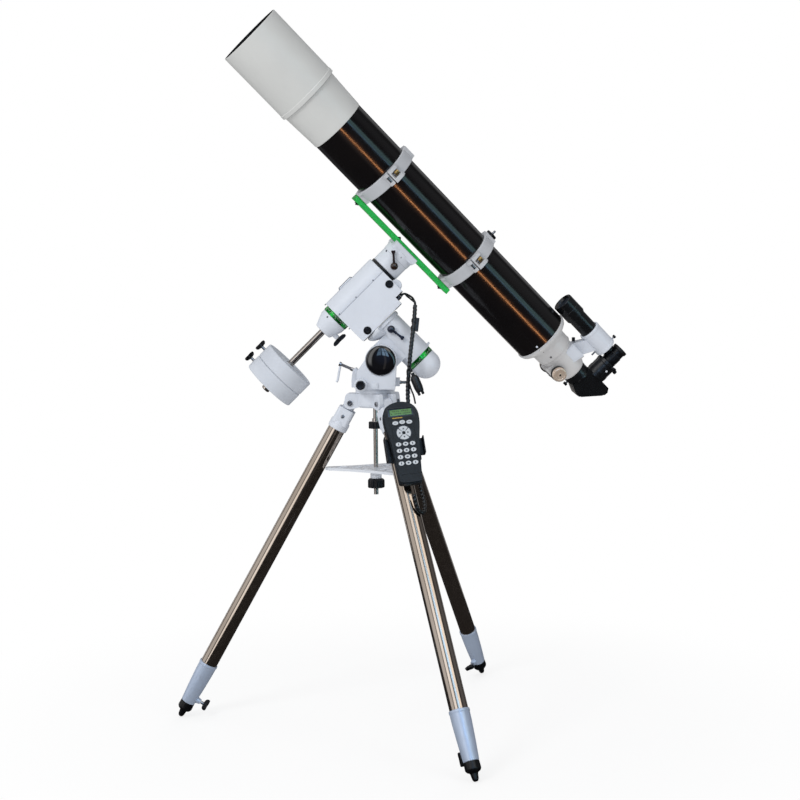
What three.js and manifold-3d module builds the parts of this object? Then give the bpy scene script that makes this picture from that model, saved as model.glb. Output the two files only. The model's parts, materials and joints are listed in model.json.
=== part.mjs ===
// Refractor telescope on a German equatorial mount with a tubular tripod. Millimetres, +Z up.
// +X runs from the low front side of the mount to its high rear side in plan, +Y is the far side, away from the controller.
import * as THREE from 'three';
import { mergeVertices } from 'three/addons/utils/BufferGeometryUtils.js';
import Module from 'manifold-3d';

const wasm = await Module();
wasm.setup();

// ---- driving dimensions -------------------------------------------------
const GAP = 0.3;                       // running gap between neighbouring pieces
const ORIGIN = [72.23, -18.59, -1.96];       // bottom centre of the bounding box (cords left out)
const LAT = 45.5 * Math.PI / 180;      // elevation of the polar axis
const DEC0 = 14.9 * Math.PI / 180;     // turn of the tube about the declination axis at rest
const CROSS = [-43.3, 0, 1141.7];      // where the polar and declination axes meet
const OTA_H = 273.2;                   // tube axis above the polar axis
const TUBE_R = 76.5, TUBE_W = 2.0, TUBE_X0 = -380, TUBE_X1 = 440;
const SHIELD_R = 86.6, SHIELD_X0 = -667, SHIELD_X1 = -459;
const RING_X = [-176, 141], RING_R = 83.2, RING_B = 77.0, RING_HW = 17;
const BAR_X0 = -192, BAR_X1 = 163, BAR_T = 15, BAR_TOP = -88.4;
const FIND_H = 108;                    // finder axis above the tube axis
const FOC_X = 537, FOC_Z = -38.5;      // focuser pinion axis in the tube frame
const WEIGHT_R = 75, WEIGHT_T = 41, WEIGHT_V = -255;
const SHAFT_R = 9;
const PIVOT = [17, 0, 972];            // altitude pivot
const HEAD_TOP = 884, HEAD_BOT = 846;
const LEG_R0 = 65.2, LEG_Z0 = 858.2, LEG_RF = 546.1, LEG_TUBE_R = 23.0, SLEEVE_R = 25.0;
const LEG_TURN = -4.0 * Math.PI / 180; // plan turn of the tripod against the mount
const TRAY_Z = 681;

// ---- helpers --------------------------------------------------------------
function manFrom(verts, tris) {
  let m = new wasm.Manifold(new wasm.Mesh({ numProp: 3, vertProperties: new Float32Array(verts), triVerts: new Uint32Array(tris) }));
  if (m.volume() < 0) {
    const t = [];
    for (let i = 0; i < tris.length; i += 3) t.push(tris[i], tris[i + 2], tris[i + 1]);
    m = new wasm.Manifold(new wasm.Mesh({ numProp: 3, vertProperties: new Float32Array(verts), triVerts: new Uint32Array(t) }));
  }
  return m;
}
// facets round a circle, by nominal smoothness
const FACETS = n => n >= 56 ? 32 : n >= 48 ? 22 : n >= 40 ? 18 : n >= 28 ? 14 : n >= 20 ? 10 : 8;
// turn a closed profile of [z, r] points about the Z axis
function lathe(profile, nominal = 40) {
  const seg = FACETS(nominal);
  const verts = [], first = [], tris = [];
  let vol = 0;
  const n = profile.length;
  for (const [z, r] of profile) {
    first.push(verts.length / 3);
    if (r < 1e-9) verts.push(0, 0, z);
    else for (let k = 0; k < seg; k++) { const a = 2 * Math.PI * k / seg; verts.push(r * Math.cos(a), r * Math.sin(a), z); }
  }
  for (let i = 0; i < n; i++) {
    const j = (i + 1) % n, ri = profile[i][1], rj = profile[j][1];
    vol += (profile[j][0] - profile[i][0]) * (ri + rj);
    if (ri < 1e-9 && rj < 1e-9) continue;
    for (let k = 0; k < seg; k++) {
      const k2 = (k + 1) % seg;
      if (ri < 1e-9) tris.push(first[i], first[j] + k, first[j] + k2);
      else if (rj < 1e-9) tris.push(first[i] + k, first[j], first[i] + k2);
      else { tris.push(first[i] + k, first[j] + k, first[j] + k2); tris.push(first[i] + k, first[j] + k2, first[i] + k2); }
    }
  }
  if (vol > 0) for (let i = 0; i < tris.length; i += 3) { const t = tris[i + 1]; tris[i + 1] = tris[i + 2]; tris[i + 2] = t; }
  return manFrom(verts, tris);
}
function toMan(geo) {
  let g = geo.index ? geo.toNonIndexed() : geo.clone();
  g.deleteAttribute('normal'); g.deleteAttribute('uv');
  g = mergeVertices(g, 1e-4);
  const idx = Array.from(g.index.array), tris = [];
  for (let i = 0; i < idx.length; i += 3) if (idx[i] !== idx[i + 1] && idx[i + 1] !== idx[i + 2] && idx[i] !== idx[i + 2]) tris.push(idx[i], idx[i + 1], idx[i + 2]);
  return manFrom(Array.from(g.attributes.position.array), tris);
}
const shapeOf = (pts) => new THREE.Shape(pts.map(p => new THREE.Vector2(p[0], p[1])));
function prism(pts, z0, z1, holes = []) {
  const s = shapeOf(pts);
  for (const h of holes) s.holes.push(new THREE.Path(h.map(p => new THREE.Vector2(p[0], p[1]))));
  const g = new THREE.ExtrudeGeometry(s, { depth: z1 - z0, bevelEnabled: false, steps: 1 });
  g.translate(0, 0, z0);
  return toMan(g);
}
const circ = (cx, cy, r, n = 24, a0 = 0, a1 = 2 * Math.PI) => Array.from({ length: n }, (_, k) => { const a = a0 + (a1 - a0) * k / (a1 - a0 > 6.28 ? n : n - 1); return [cx + r * Math.cos(a), cy + r * Math.sin(a)]; });
function rrect(x0, x1, y0, y1, r, n = 4) {
  const p = [];
  for (const [cx, cy, a] of [[x1 - r, y1 - r, 0], [x0 + r, y1 - r, 1], [x0 + r, y0 + r, 2], [x1 - r, y0 + r, 3]])
    for (let k = 0; k <= n; k++) { const t = (a + k / n) * Math.PI / 2; p.push([cx + r * Math.cos(t), cy + r * Math.sin(t)]); }
  return p;
}
const box = (x0, x1, y0, y1, z0, z1) => prism([[x0, y0], [x1, y0], [x1, y1], [x0, y1]], z0, z1);
const M4 = () => new THREE.Matrix4();
const tr = (m, mat) => m.transform(Array.from(mat.elements));
const mv = (m, x, y, z) => m.translate([x, y, z]);
// turn a Z-axis solid so that it runs along the given axis
const alongX = m => tr(m, new THREE.Matrix4().makeBasis(new THREE.Vector3(0, 1, 0), new THREE.Vector3(0, 0, 1), new THREE.Vector3(1, 0, 0)));
const alongY = m => tr(m, new THREE.Matrix4().makeBasis(new THREE.Vector3(0, 0, 1), new THREE.Vector3(1, 0, 0), new THREE.Vector3(0, 1, 0)));
// an XZ outline pushed through from y0 to y1
const plateXZ = (pts, y0, y1, holes = []) => tr(prism(pts.map(p => [p[0], p[1]]), -y1, -y0, holes), new THREE.Matrix4().makeBasis(new THREE.Vector3(1, 0, 0), new THREE.Vector3(0, 0, 1), new THREE.Vector3(0, -1, 0)));
// a YZ outline pushed through from x0 to x1
const plateYZ = (pts, x0, x1, holes = []) => tr(prism(pts, x0, x1, holes), new THREE.Matrix4().makeBasis(new THREE.Vector3(0, 1, 0), new THREE.Vector3(0, 0, 1), new THREE.Vector3(1, 0, 0)));
const rod = (r, z0, z1, seg = 20) => lathe([[z0, 0], [z0, r], [z1, r], [z1, 0]], seg);
const ring = (ro, ri, z0, z1, seg = 40) => lathe([[z0, ri], [z0, ro], [z1, ro], [z1, ri]], seg);
function between(m, p, q, roll = 0) { // Z-axis solid placed with its origin at p, Z towards q
  const a = new THREE.Vector3(...p), d = new THREE.Vector3(...q).sub(a).normalize();
  const up = Math.abs(d.z) > 0.95 ? new THREE.Vector3(0, 1, 0) : new THREE.Vector3(0, 0, 1);
  const x = new THREE.Vector3().crossVectors(up, d).normalize(), y = new THREE.Vector3().crossVectors(d, x);
  const mat = new THREE.Matrix4().makeBasis(x, y, d).setPosition(a).multiply(new THREE.Matrix4().makeRotationZ(roll));
  return tr(m, mat);
}
const dist = (p, q) => Math.hypot(p[0] - q[0], p[1] - q[1], p[2] - q[2]);
const rodPQ = (r, p, q, seg = 16) => between(rod(r, 0, dist(p, q), seg), p, q);
const U = (...a) => a.reduce((x, y) => x.add(y));
// wing knob: Z is its spindle, wings run along X, underside at z = 0
function wingKnob(len, wide, high, stemR, stemL) {
  const h = len / 2, w = wide / 2;
  const head = tr(prism([[-h, high * 0.35], [-h * 0.72, high * 0.05], [-w, 0], [w, 0], [h * 0.72, high * 0.05], [h, high * 0.35], [h, high * 0.9], [h * 0.8, high], [-h * 0.8, high], [-h, high * 0.9]], -w, w), new THREE.Matrix4().makeRotationX(Math.PI / 2));
  return U(head, rod(w * 1.05, -0.2, high * 0.85, 16), rod(stemR, -stemL, 1, 12));
}
// a ribbed round knob
function ribKnob(r, z0, z1, lobes = 10, depth = 1.2) {
  const pts = [];
  for (let k = 0; k < lobes * 2; k++) { const a = Math.PI * k / lobes; pts.push([(r - depth / 2 + depth / 2 * Math.cos(lobes * a)) * Math.cos(a), (r - depth / 2 + depth / 2 * Math.cos(lobes * a)) * Math.sin(a)]); }
  return prism(pts, z0, z1);
}
// clutch lever: pivot on Z at the origin, arm towards +X
function lever(armL) {
  return U(lathe([[0, 0], [0, 9], [3, 10.4], [9, 10.4], [13, 7.5], [15, 0]], 20),
    prism([[4, -4.2], [armL - 9, -3.0], [armL - 3, -5.4], [armL + 1, -5.4], [armL + 1, 5.4], [armL - 3, 5.4], [armL - 9, 3.0], [4, 4.2]], 3, 10.5));
}

const group = new THREE.Group();
group.name = 'refractor_telescope';
const mats = {};
function material(slot, hex, rough, metal) { mats[slot] = [hex, rough, metal]; return slot; }
material('tube_black', 0x0c0c0e, 0.12, 0.0);
material('shield_white', 0xc9cac6, 0.45, 0.0);
material('cast_white', 0xced2da, 0.5, 0.0);
material('ring_grey', 0xc4c6c8, 0.5, 0.0);
material('green_anodised', 0x3fc45a, 0.35, 0.8);
material('circle_green', 0x1d8a35, 0.3, 0.9);
material('stainless', 0x9c9690, 0.18, 1.0);
material('black_plastic', 0x141417, 0.45, 0.0);
material('lens_glass', 0x9fb4c8, 0.02, 0.0);
material('weight_grey', 0xbfc4cc, 0.6, 0.0);
material('satin_black', 0x17171a, 0.35, 0.3);
material('knob_bronze', 0xb98f6a, 0.25, 0.9);
material('lever_dark', 0x3a3f52, 0.35, 0.4);
material('lever_brown', 0x3a2a22, 0.35, 0.4);
material('handset_slate', 0x25303c, 0.5, 0.0);
material('keypad_grey', 0xc8ccd0, 0.6, 0.0);
material('cord_black', 0x0e0e10, 0.5, 0.0);
function put(name, man, slot, mat = null) {
  if (mat) man = tr(man, mat);
  man = mv(man, -ORIGIN[0], -ORIGIN[1], -ORIGIN[2]);
  const m = man.getMesh(), g = new THREE.BufferGeometry(), np = m.numProp, pos = new Float32Array(m.vertProperties.length / np * 3);
  for (let i = 0; i < pos.length / 3; i++) for (let k = 0; k < 3; k++) pos[3 * i + k] = m.vertProperties[np * i + k];
  g.setAttribute('position', new THREE.BufferAttribute(pos, 3));
  g.setIndex(Array.from(m.triVerts));
  g.computeVertexNormals();
  const [hex, rough, metal] = mats[slot];
  const mesh = new THREE.Mesh(g, new THREE.MeshStandardMaterial({ color: hex, roughness: rough, metalness: metal, name: slot }));
  mesh.name = name;
  group.add(mesh);
}

// ---- frames ---------------------------------------------------------------
// polar frame: X down the polar axis, Y away, Z up the declination axis
const P = new THREE.Matrix4().makeTranslation(...CROSS).multiply(new THREE.Matrix4().makeRotationY(LAT));
// saddle frame: as polar, turned with the tube about the declination axis
const S = P.clone().multiply(new THREE.Matrix4().makeRotationZ(DEC0));
// tube frame: X rearwards along the optical axis
const O = S.clone().multiply(new THREE.Matrix4().makeTranslation(0, 0, OTA_H));

// ---- optical tube assembly ------------------------------------------------
put('optical_tube', alongX(ring(TUBE_R, TUBE_R - TUBE_W, TUBE_X0, TUBE_X1, 64)), 'tube_black', O);
put('objective_cell', alongX(lathe([
  [-505, 75.2], [-505, 83.4], [-459, 83.4], [-459, 82.2], [-455, 82.2], [-375, 78.6], [-356, 77.9], [-353, 77.2],
  [-353, TUBE_R + GAP], [TUBE_X0 - GAP, TUBE_R + GAP], [TUBE_X0 - GAP, 71.5], [-446, 71.5], [-446, 75.2]], 64)), 'shield_white', O);
put('objective_lens', alongX(lathe([
  [-475, 0], [-474, 25], [-471.2, 50], [-467, 70], [-466, 74.8], [-447.2, 74.8], [-447.2, 73], [-449, 60], [-450.2, 30], [-450.5, 0]], 40)), 'lens_glass', O);
put('dew_shield', alongX(lathe([
  [SHIELD_X0, SHIELD_R - 2.6], [SHIELD_X0, SHIELD_R - 0.4], [SHIELD_X0 + 0.6, SHIELD_R], [SHIELD_X1 - 12, SHIELD_R], [SHIELD_X1 - 10.5, SHIELD_R + 1.1],
  [SHIELD_X1 - 1, SHIELD_R + 1.1], [SHIELD_X1 - GAP, SHIELD_R], [SHIELD_X1 - GAP, SHIELD_R - 2.6]], 64)), 'shield_white', O);
for (const [i, nm] of [[0, 'front'], [1, 'rear']]) {
  const x = RING_X[i];
  const band = alongX(ring(RING_R, RING_B, x - RING_HW, x + RING_HW, 56));
  const bore = alongX(rod(RING_B, x - 40, x + 40, 56));
  const lo = box(x - 60, x + 60, -200, 200, -200, 0.5), hi = box(x - 60, x + 60, -200, 200, 3.5, 200);
  const hyA = 87.5, hz = 2;
  const foot = box(x - RING_HW, x + RING_HW, -21, 21, BAR_TOP + GAP, -70).subtract(bore);
  const lugLo = box(x - RING_HW, x + RING_HW, -99, -79, -13, 0.5).subtract(bore);
  const hingeLo = box(x - RING_HW, x + RING_HW, 79, 90, -12, 0.5).subtract(bore);
  const knLo = U(mv(alongX(rod(5.5, -RING_HW, -6.3, 20)), x, hyA, hz), mv(alongX(rod(5.5, 6.3, RING_HW, 20)), x, hyA, hz));
  let lower = U(band.intersect(lo), foot, lugLo, hingeLo, knLo);
  lower = lower.subtract(box(x - 6.3, x + 6.3, hyA - 6.3, hyA + 8, -4.5, 9)).subtract(box(x - RING_HW - 1, x + RING_HW + 1, 60, hyA - 5.9, 0.5, 12));
  put(`ring_${nm}_lower`, lower, 'ring_grey', O);
  const lugHi = box(x - RING_HW, x + RING_HW + 3, -99, -79, 3.5, 35).subtract(bore).subtract(box(x - 8, x + 8, -100, -86, 12, 27));
  const boltHi = rodPQ(4.2, [x, -92, 11], [x, -92, 28], 14);
  const pad = box(x - RING_HW, x + RING_HW, -15, 15, 70, 89).subtract(bore);
  const knHi = mv(alongX(rod(5.5, -5.9, 5.9, 20)), x, hyA, hz);
  const strap = box(x - 5.9, x + 5.9, 79, hyA + 4, 3.5, 14).subtract(bore);
  let upper = U(band.intersect(hi), lugHi, boltHi, pad, strap, knHi);
  const clear = U(mv(alongX(rod(6.1, -RING_HW - 1, -5.9, 20)), x, hyA, hz), mv(alongX(rod(6.1, 5.9, RING_HW + 1, 20)), x, hyA, hz));
  upper = upper.subtract(clear);
  put(`ring_${nm}_upper`, upper, 'ring_grey', O);
}
{
  const y = BAR_TOP, b = BAR_TOP - BAR_T;
  let bar = plateYZ([[-18, y], [-22, b], [22, b], [18, y]], BAR_X0, BAR_X1);
  for (const x of RING_X) bar = bar.add(mv(rod(6.5, b - 5.2, b + 1, 6), x, 0, 0));
  put('dovetail_bar', bar, 'green_anodised', O);
}
put('piggyback_knob', mv(U(ribKnob(15.5, 89.3, 97, 8, 3.2), rod(3.2, 96, 108, 14)), RING_X[1], 0, 0), 'black_plastic', O);
put('rear_flange', alongX(lathe([
  [424, 40], [424, 74.2], [TUBE_X1 + GAP, 74.2], [TUBE_X1 + GAP, 78.3], [446.5, 78.3], [448, 77.2], [450, 77.2], [454, 74], [469, 52.5], [470.5, 49.6], [474, 49.2], [512, 48.6], [512, 40]], 56)), 'cast_white', O);
{
  let body = alongX(lathe([[512.4, 31], [512.4, 46.8], [540, 46.2], [560, 43.2], [571, 40.2], [579, 36.6], [582.5, 32.5], [582.5, 31]], 48));
  const block = plateYZ(rrect(-32, 32, -55, -33, 4, 2), 516, 560);
  const shoe = plateXZ([[519, 20], [560, 20], [566, 26], [566, 47.2], [519, 47.2]], -23, 23);
  const hollow = alongX(rod(31, 505, 600, 48));
  body = U(body, block, shoe).subtract(hollow).subtract(mv(alongY(rod(4.3, -60, 60, 20)), FOC_X, 0, FOC_Z));
  put('focuser_body', body, 'cast_white', O);
}
put('drawtube', U(alongX(lathe([[514, 26.2], [514, 30.6], [583.2, 30.6], [583.2, 34.2], [601, 34.2], [602.5, 33], [602.5, 26.2]], 40)),
  rodPQ(3, [593, 0, -32], [593, 0, -39], 12), rodPQ(6, [593, 0, -38.5], [593, 0, -45], 16)), 'satin_black', O);
put('focus_knobs', mv(U(alongY(rod(3.7, -60, 60, 16)),
  alongY(lathe([[47, 0], [47, 19.6], [49, 21], [60, 21], [61, 19.4], [70, 19], [71.5, 17.5], [71.5, 0]], 32)),
  alongY(lathe([[-47, 0], [-47, 19.6], [-49, 21], [-60, 21], [-61, 19.4], [-70, 19], [-71.5, 17.5], [-71.5, 0]], 32))), FOC_X, 0, FOC_Z), 'knob_bronze', O);
{
  const wedge = plateXZ([[603, -30], [612, -35], [632, -42], [640, -40.5], [691, 14], [692, 24], [684, 34.5], [603, 34.5]], -24, 24);
  const out = mv(lathe([[20, 0], [20, 29], [74, 29], [76, 30.2], [84, 30.2], [84, 16.4], [52, 16.4], [52, 0]], 40), 636, 0, 0);
  const nose = alongX(lathe([[560, 22], [560, 25.8], [604, 25.8], [604, 0], [600, 0], [600, 22]], 32));
  const scr = U(rodPQ(3, [663, 0, 79], [672, 0, 79], 12), rodPQ(5.5, [670.5, 0, 79], [676, 0, 79], 16), rodPQ(3, [646, -27, 79], [650, -36, 79], 12), rodPQ(5.5, [649.5, -35, 79], [652, -40.6, 79], 16));
  put('star_diagonal', U(wedge, out, nose, scr), 'satin_black', O);
}
put('eyepiece', mv(lathe([[56, 0], [56, 15.9], [84.4, 15.9], [84.4, 20], [88, 21], [112, 21], [114, 19.6], [126, 19.6], [128, 22], [136, 21], [136, 14], [131, 11], [130, 0]], 32), 638, 0, 0), 'black_plastic', O.clone().multiply(new THREE.Matrix4().makeTranslation(-2, 0, 0)));
{
  const hold = mv(alongX(lathe([[528, 25.6], [528, 29.6], [530, 30.4], [599, 30.4], [601, 29.4], [601, 25.6]], 40)), 0, 0, FIND_H);
  const stem = plateXZ([[523, 47.6], [556, 47.6], [575, 84], [543, 84]], -11, 11).subtract(mv(alongX(rod(25.8, 500, 620, 40)), 0, 0, FIND_H));
  const scr = U(rodPQ(2.4, [596, 0, FIND_H + 29], [596, 0, FIND_H + 35], 10), rodPQ(5, [596, 0, FIND_H + 34.6], [596, 0, FIND_H + 41], 14),
    rodPQ(2.4, [588, 0, FIND_H - 29], [588, 0, FIND_H - 42], 10), rodPQ(4.6, [520.5, 0, 56], [513, 0, 63], 14), rodPQ(2.4, [530, 0, 51.5], [518, 0, 58.5], 10));
  put('finder_bracket', U(hold, stem, scr), 'cast_white', O);
}
put('finder_scope', mv(alongX(lathe([[424, 0], [424, 24], [417, 25.5], [416, 26.8], [419, 28.3], [471, 28.3], [475, 26.6], [476, 24.6], [482, 24.6], [601.5, 24.6], [604, 20], [606, 17.5], [613.5, 17], [614, 15], [614, 0]], 40)), 0, 0, FIND_H), 'satin_black', O);

// ---- mount head, turning with the tube about the declination axis -------------
{
  const hub = lathe([[101.3, 0], [101.3, 38.6], [103, 39.8], [140, 39.8], [143, 40.8], [158, 41.4], [161, 41.4], [163, 40], [163, 0]], 48);
  const base = prism(rrect(-38, 38, -40, 40, 6, 4), 155, 169.2);
  const jawA = plateYZ([[-40, 165], [-40, 174.5], [-38.5, 176], [-20.95, 176], [-22.6, 169.2], [-22.6, 165]], -38, 38);
  const jawB = plateYZ([[40, 165], [40, 184], [38.5, 185.5], [19.1, 185.5], [19.1, 183.5], [22.6, 169.2], [22.6, 165]], -38, 38);
  put('saddle', U(hub, base, jawA, jawB), 'cast_white', S);
  for (const [x, nm, a] of [[-12, 'front', 0.9], [28, 'rear', -0.35]]) {
    const k = wingKnob(30, 12, 13, 4, 7);
    put(`saddle_knob_${nm}`, tr(k, new THREE.Matrix4().makeTranslation(x, 48, 177.5).multiply(new THREE.Matrix4().makeBasis(new THREE.Vector3(1, 0, 0), new THREE.Vector3(0, 0, -1), new THREE.Vector3(0, 1, 0))).multiply(new THREE.Matrix4().makeRotationZ(a))), 'black_plastic', S);
  }
}
// the lever lies on the controller side at rest, so it is placed in the polar frame but rides with the saddle
{
  const b = new THREE.Matrix4().makeTranslation(14, -41.6, 123).multiply(new THREE.Matrix4().makeBasis(new THREE.Vector3(1, 0, 0), new THREE.Vector3(0, 0, 1), new THREE.Vector3(0, -1, 0))).multiply(new THREE.Matrix4().makeRotationZ(Math.atan2(25, -28)));
  put('dec_clutch_lever', tr(lever(40), b), 'lever_brown', P);
}

// ---- declination housing and counterweights, turning about the polar axis -----
{
  const round = lathe([[-74, 10.2], [-74, 44.5], [-72.5, 46], [91, 46], [93, 44.5], [93, 39.6], [100.9, 39.6], [100.9, 30], [60, 30], [60, 10.2]], 48);
  const lowBox = plateXZ([[3, -74], [96, -74], [96, 68], [74.5, 68], [74.5, 93], [3, 93]], -49, 49).subtract(rod(30, -80, 110, 48)).subtract(mv(rod(46.2, 93, 200, 40), 0, 0, 0));
  const inner = lathe([[-74, 10.2], [-74, 38], [60, 38], [60, 10.2]], 48);
  const shoulder = mv(alongY(rod(15, -34, 18, 28)), 52, 0, 91.5);
  const socket = mv(rod(6, 67, 79, 16), 80, -16, 0);
  const clearHub = rod(41.6, 101.1, 130, 40);
  const handle = plateXZ([[-50, -22], [-46, -26], [-44, -26], [-44, 26], [-46, 26], [-50, 22]], -6, 6);
  let h = U(round, lowBox, inner, shoulder, socket, handle).subtract(clearHub).subtract(rod(10.2, -90, 60, 32)).subtract(rod(36, -66, 60, 40)).subtract(rod(30, 59, 110, 40));
  put('dec_housing', h, 'cast_white', P);
}
put('dec_setting_circle', ring(38.8, 26, -86.9, -74.3, 48), 'circle_green', P);
{
  const cone = lathe([[-87.2, 9.6], [-87.2, 38], [-99, 37.4], [-126, 27], [-131, 25], [-132.5, 23], [-132.5, 9.6]], 40);
  const boss = tr(rod(6.5, 22, 40.5, 16), new THREE.Matrix4().makeTranslation(0, 0, -117).multiply(new THREE.Matrix4().makeBasis(new THREE.Vector3(0, 1, 0), new THREE.Vector3(0, 0, 1), new THREE.Vector3(1, 0, 0))));
  put('dec_end_cone', U(cone, boss).subtract(rod(9.6, -140, -80, 24)), 'cast_white', P);
}
{
  const k = wingKnob(42, 13, 12.5, 4, 0);
  const b = new THREE.Matrix4().makeTranslation(41, 0, -117).multiply(new THREE.Matrix4().makeBasis(new THREE.Vector3(0, 0, -1), new THREE.Vector3(0, 1, 0), new THREE.Vector3(1, 0, 0)));
  put('shaft_lock_knob', tr(k, b), 'black_plastic', P);
}
put('counterweight_shaft', lathe([[-352, 0], [-352, 9], [-350, 11.5], [-340, 11.5], [-338.8, 9.8], [-338.8, SHAFT_R], [-60, SHAFT_R], [-59, 8], [-59, 0]], 28), 'stainless', P);
for (const [i, nm] of [[0, 'upper'], [1, 'lower']]) {
  const t = WEIGHT_V - i * (WEIGHT_T + GAP), b = t - WEIGHT_T;
  let w = lathe([[t, SHAFT_R + 0.4], [t, WEIGHT_R - 2], [t - 1.6, WEIGHT_R], [b + 1.6, WEIGHT_R], [b, WEIGHT_R - 2], [b, SHAFT_R + 0.4]], 64);
  w = w.subtract(rodPQ(4.2, [-80, 0, (t + b) / 2], [-40, 0, (t + b) / 2], 14));
  put(`counterweight_${nm}`, w, 'weight_grey', P);
  const a = i ? 0.5 : 0.15;
  const k = wingKnob(30, 12, 12, 3.8, 22);
  const m = new THREE.Matrix4().makeTranslation(-(WEIGHT_R + 10), 0, (t + b) / 2).multiply(new THREE.Matrix4().makeBasis(new THREE.Vector3(0, 0, 1), new THREE.Vector3(0, -1, 0), new THREE.Vector3(-1, 0, 0)).multiply(new THREE.Matrix4().makeRotationZ(a)));
  put(`weight_knob_${nm}`, tr(k, m), 'black_plastic', P);
}

// ---- polar housing, tilting in the fork --------------------------------------
{
  const tube = alongX(lathe([[97.4, 0], [97.4, 40], [99, 43.5], [107, 43.5], [109, 40], [224, 40], [226.6, 39], [226.6, 0]], 48));
  let skirt = alongX(lathe([[97.4, 0], [97.4, 60], [100, 63], [106, 62], [116, 52], [126, 36], [126, 0]], 40)).intersect(box(90, 140, -70, 70, -70, -22));
  const block = plateXZ([[123, -14], [204, -14], [204, -66], [201, -90], [125, -90], [122, -66]], -33.8, 33.8);
  const boss = mv(alongY(rod(41, -33.8, 33.8, 40)), 163.5, 0, -75.8);
  const peg = U(rodPQ(3, [221, 0, 36], [221, 0, 47], 12));
  put('ra_housing', U(tube, skirt, block, boss, peg).subtract(alongX(rod(31, 112, 230, 40))), 'cast_white', P);
}
{
  const b = new THREE.Matrix4().makeTranslation(124.5, -40.6, 1).multiply(new THREE.Matrix4().makeBasis(new THREE.Vector3(1, 0, 0), new THREE.Vector3(0, 0, 1), new THREE.Vector3(0, -1, 0))).multiply(new THREE.Matrix4().makeRotationZ(0.13));
  put('ra_clutch_lever', tr(lever(40), b), 'lever_dark', P);
}
put('ra_setting_circle', alongX(ring(38.6, 26, 227, 240, 48)), 'circle_green', P);
{
  const pr = [[240.4, 0], [240.4, 38.4], [258, 38.4]];
  for (let k = 1; k <= 5; k++) { const a = k / 5 * Math.PI / 2; pr.push([258 + 35 * Math.sin(a), 38.4 * Math.cos(a)]); }
  pr[pr.length - 1][1] = 0;
  put('ra_dome_cap', alongX(lathe(pr, 40)), 'cast_white', P);
}

// ---- fork base -----------------------------------------------------------------
{
  const arc = circ(PIVOT[0], PIVOT[2], 42, 13, -0.25, Math.PI * 0.98);
  const side = [[-50, 896], [54, 896], [56, 930], ...arc, [-46, 944], [-47, 925]];
  const near = plateXZ(side, -62, -34.3), far = plateXZ(side, 34.3, 62);
  const low = plateXZ([[-50, 896], [54, 896], [55.5, 921], [-48, 921]], -62, 62);
  const disc = rod(52, HEAD_TOP + GAP, 897, 48);
  const front = plateXZ([[-62, 921], [-30, 921], [-30, 932], [-50, 952], [-58, 948]], -20, 20);
  const frontLow = plateXZ([[-62, 900], [-40, 900], [-40, 922], [-62, 922]], -20, 20);
  const rear = plateXZ([[50, 902], [66, 902], [66, 924], [50, 924]], -16, 16);
  const azBoss = mv(alongY(rod(17.5, -76, -55, 28)), -36, 0, 909);
  const azBoss2 = mv(alongY(rod(17.5, 55, 76, 28)), -36, 0, 909);
  const sq = box(-8, 9, -65, -60, 898, 915);
  let f = U(near, far, low, disc, front, frontLow, rear, azBoss, azBoss2, sq);
  f = f.subtract(rodPQ(4.6, [-100, 0, 965], [-20, 0, 929.4], 16)).subtract(rodPQ(4.6, [40, 0, 912], [100, 0, 911], 16)).subtract(mv(rod(8, 880, 900, 20), 0, 0, 0));
  put('fork_base', f, 'cast_white');
}
put('altitude_cap', tr(lathe([[0, 0], [0, 39], [2.5, 39], [5, 37.5], [8.5, 32], [11, 22], [12.2, 10], [12.4, 0]], 48), new THREE.Matrix4().makeTranslation(PIVOT[0], -62.3, PIVOT[2]).multiply(new THREE.Matrix4().makeBasis(new THREE.Vector3(1, 0, 0), new THREE.Vector3(0, 0, 1), new THREE.Vector3(0, -1, 0)))), 'black_plastic');
put('altitude_bolt_front', U(rodPQ(4.1, [-93, 0, 961.9], [-24, 0, 931.2], 16), between(lathe([[0, 0], [0, 6], [6, 6], [6, 0]], 16), [-95, 0, 962.8], [-24, 0, 931.2]), rodPQ(3.2, [-92, 0, 963], [-99, 0, 921], 12), rodPQ(3.2, [-99, 0, 921], [-103, 0, 914], 12)), 'stainless');
put('altitude_bolt_rear', U(rodPQ(4.1, [56, 0, 911.8], [90, 0, 911.3], 16), rodPQ(6, [86, 0, 911.4], [92, 0, 911.3], 16), rodPQ(3.2, [89, 0, 911], [91, 0, 880], 12)), 'stainless');
put('azimuth_knob', tr(ribKnob(12.3, 0, 13, 10, 1.4), new THREE.Matrix4().makeTranslation(-36, -76.3, 909).multiply(new THREE.Matrix4().makeBasis(new THREE.Vector3(1, 0, 0), new THREE.Vector3(0, 0, 1), new THREE.Vector3(0, -1, 0)))), 'black_plastic');

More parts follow.
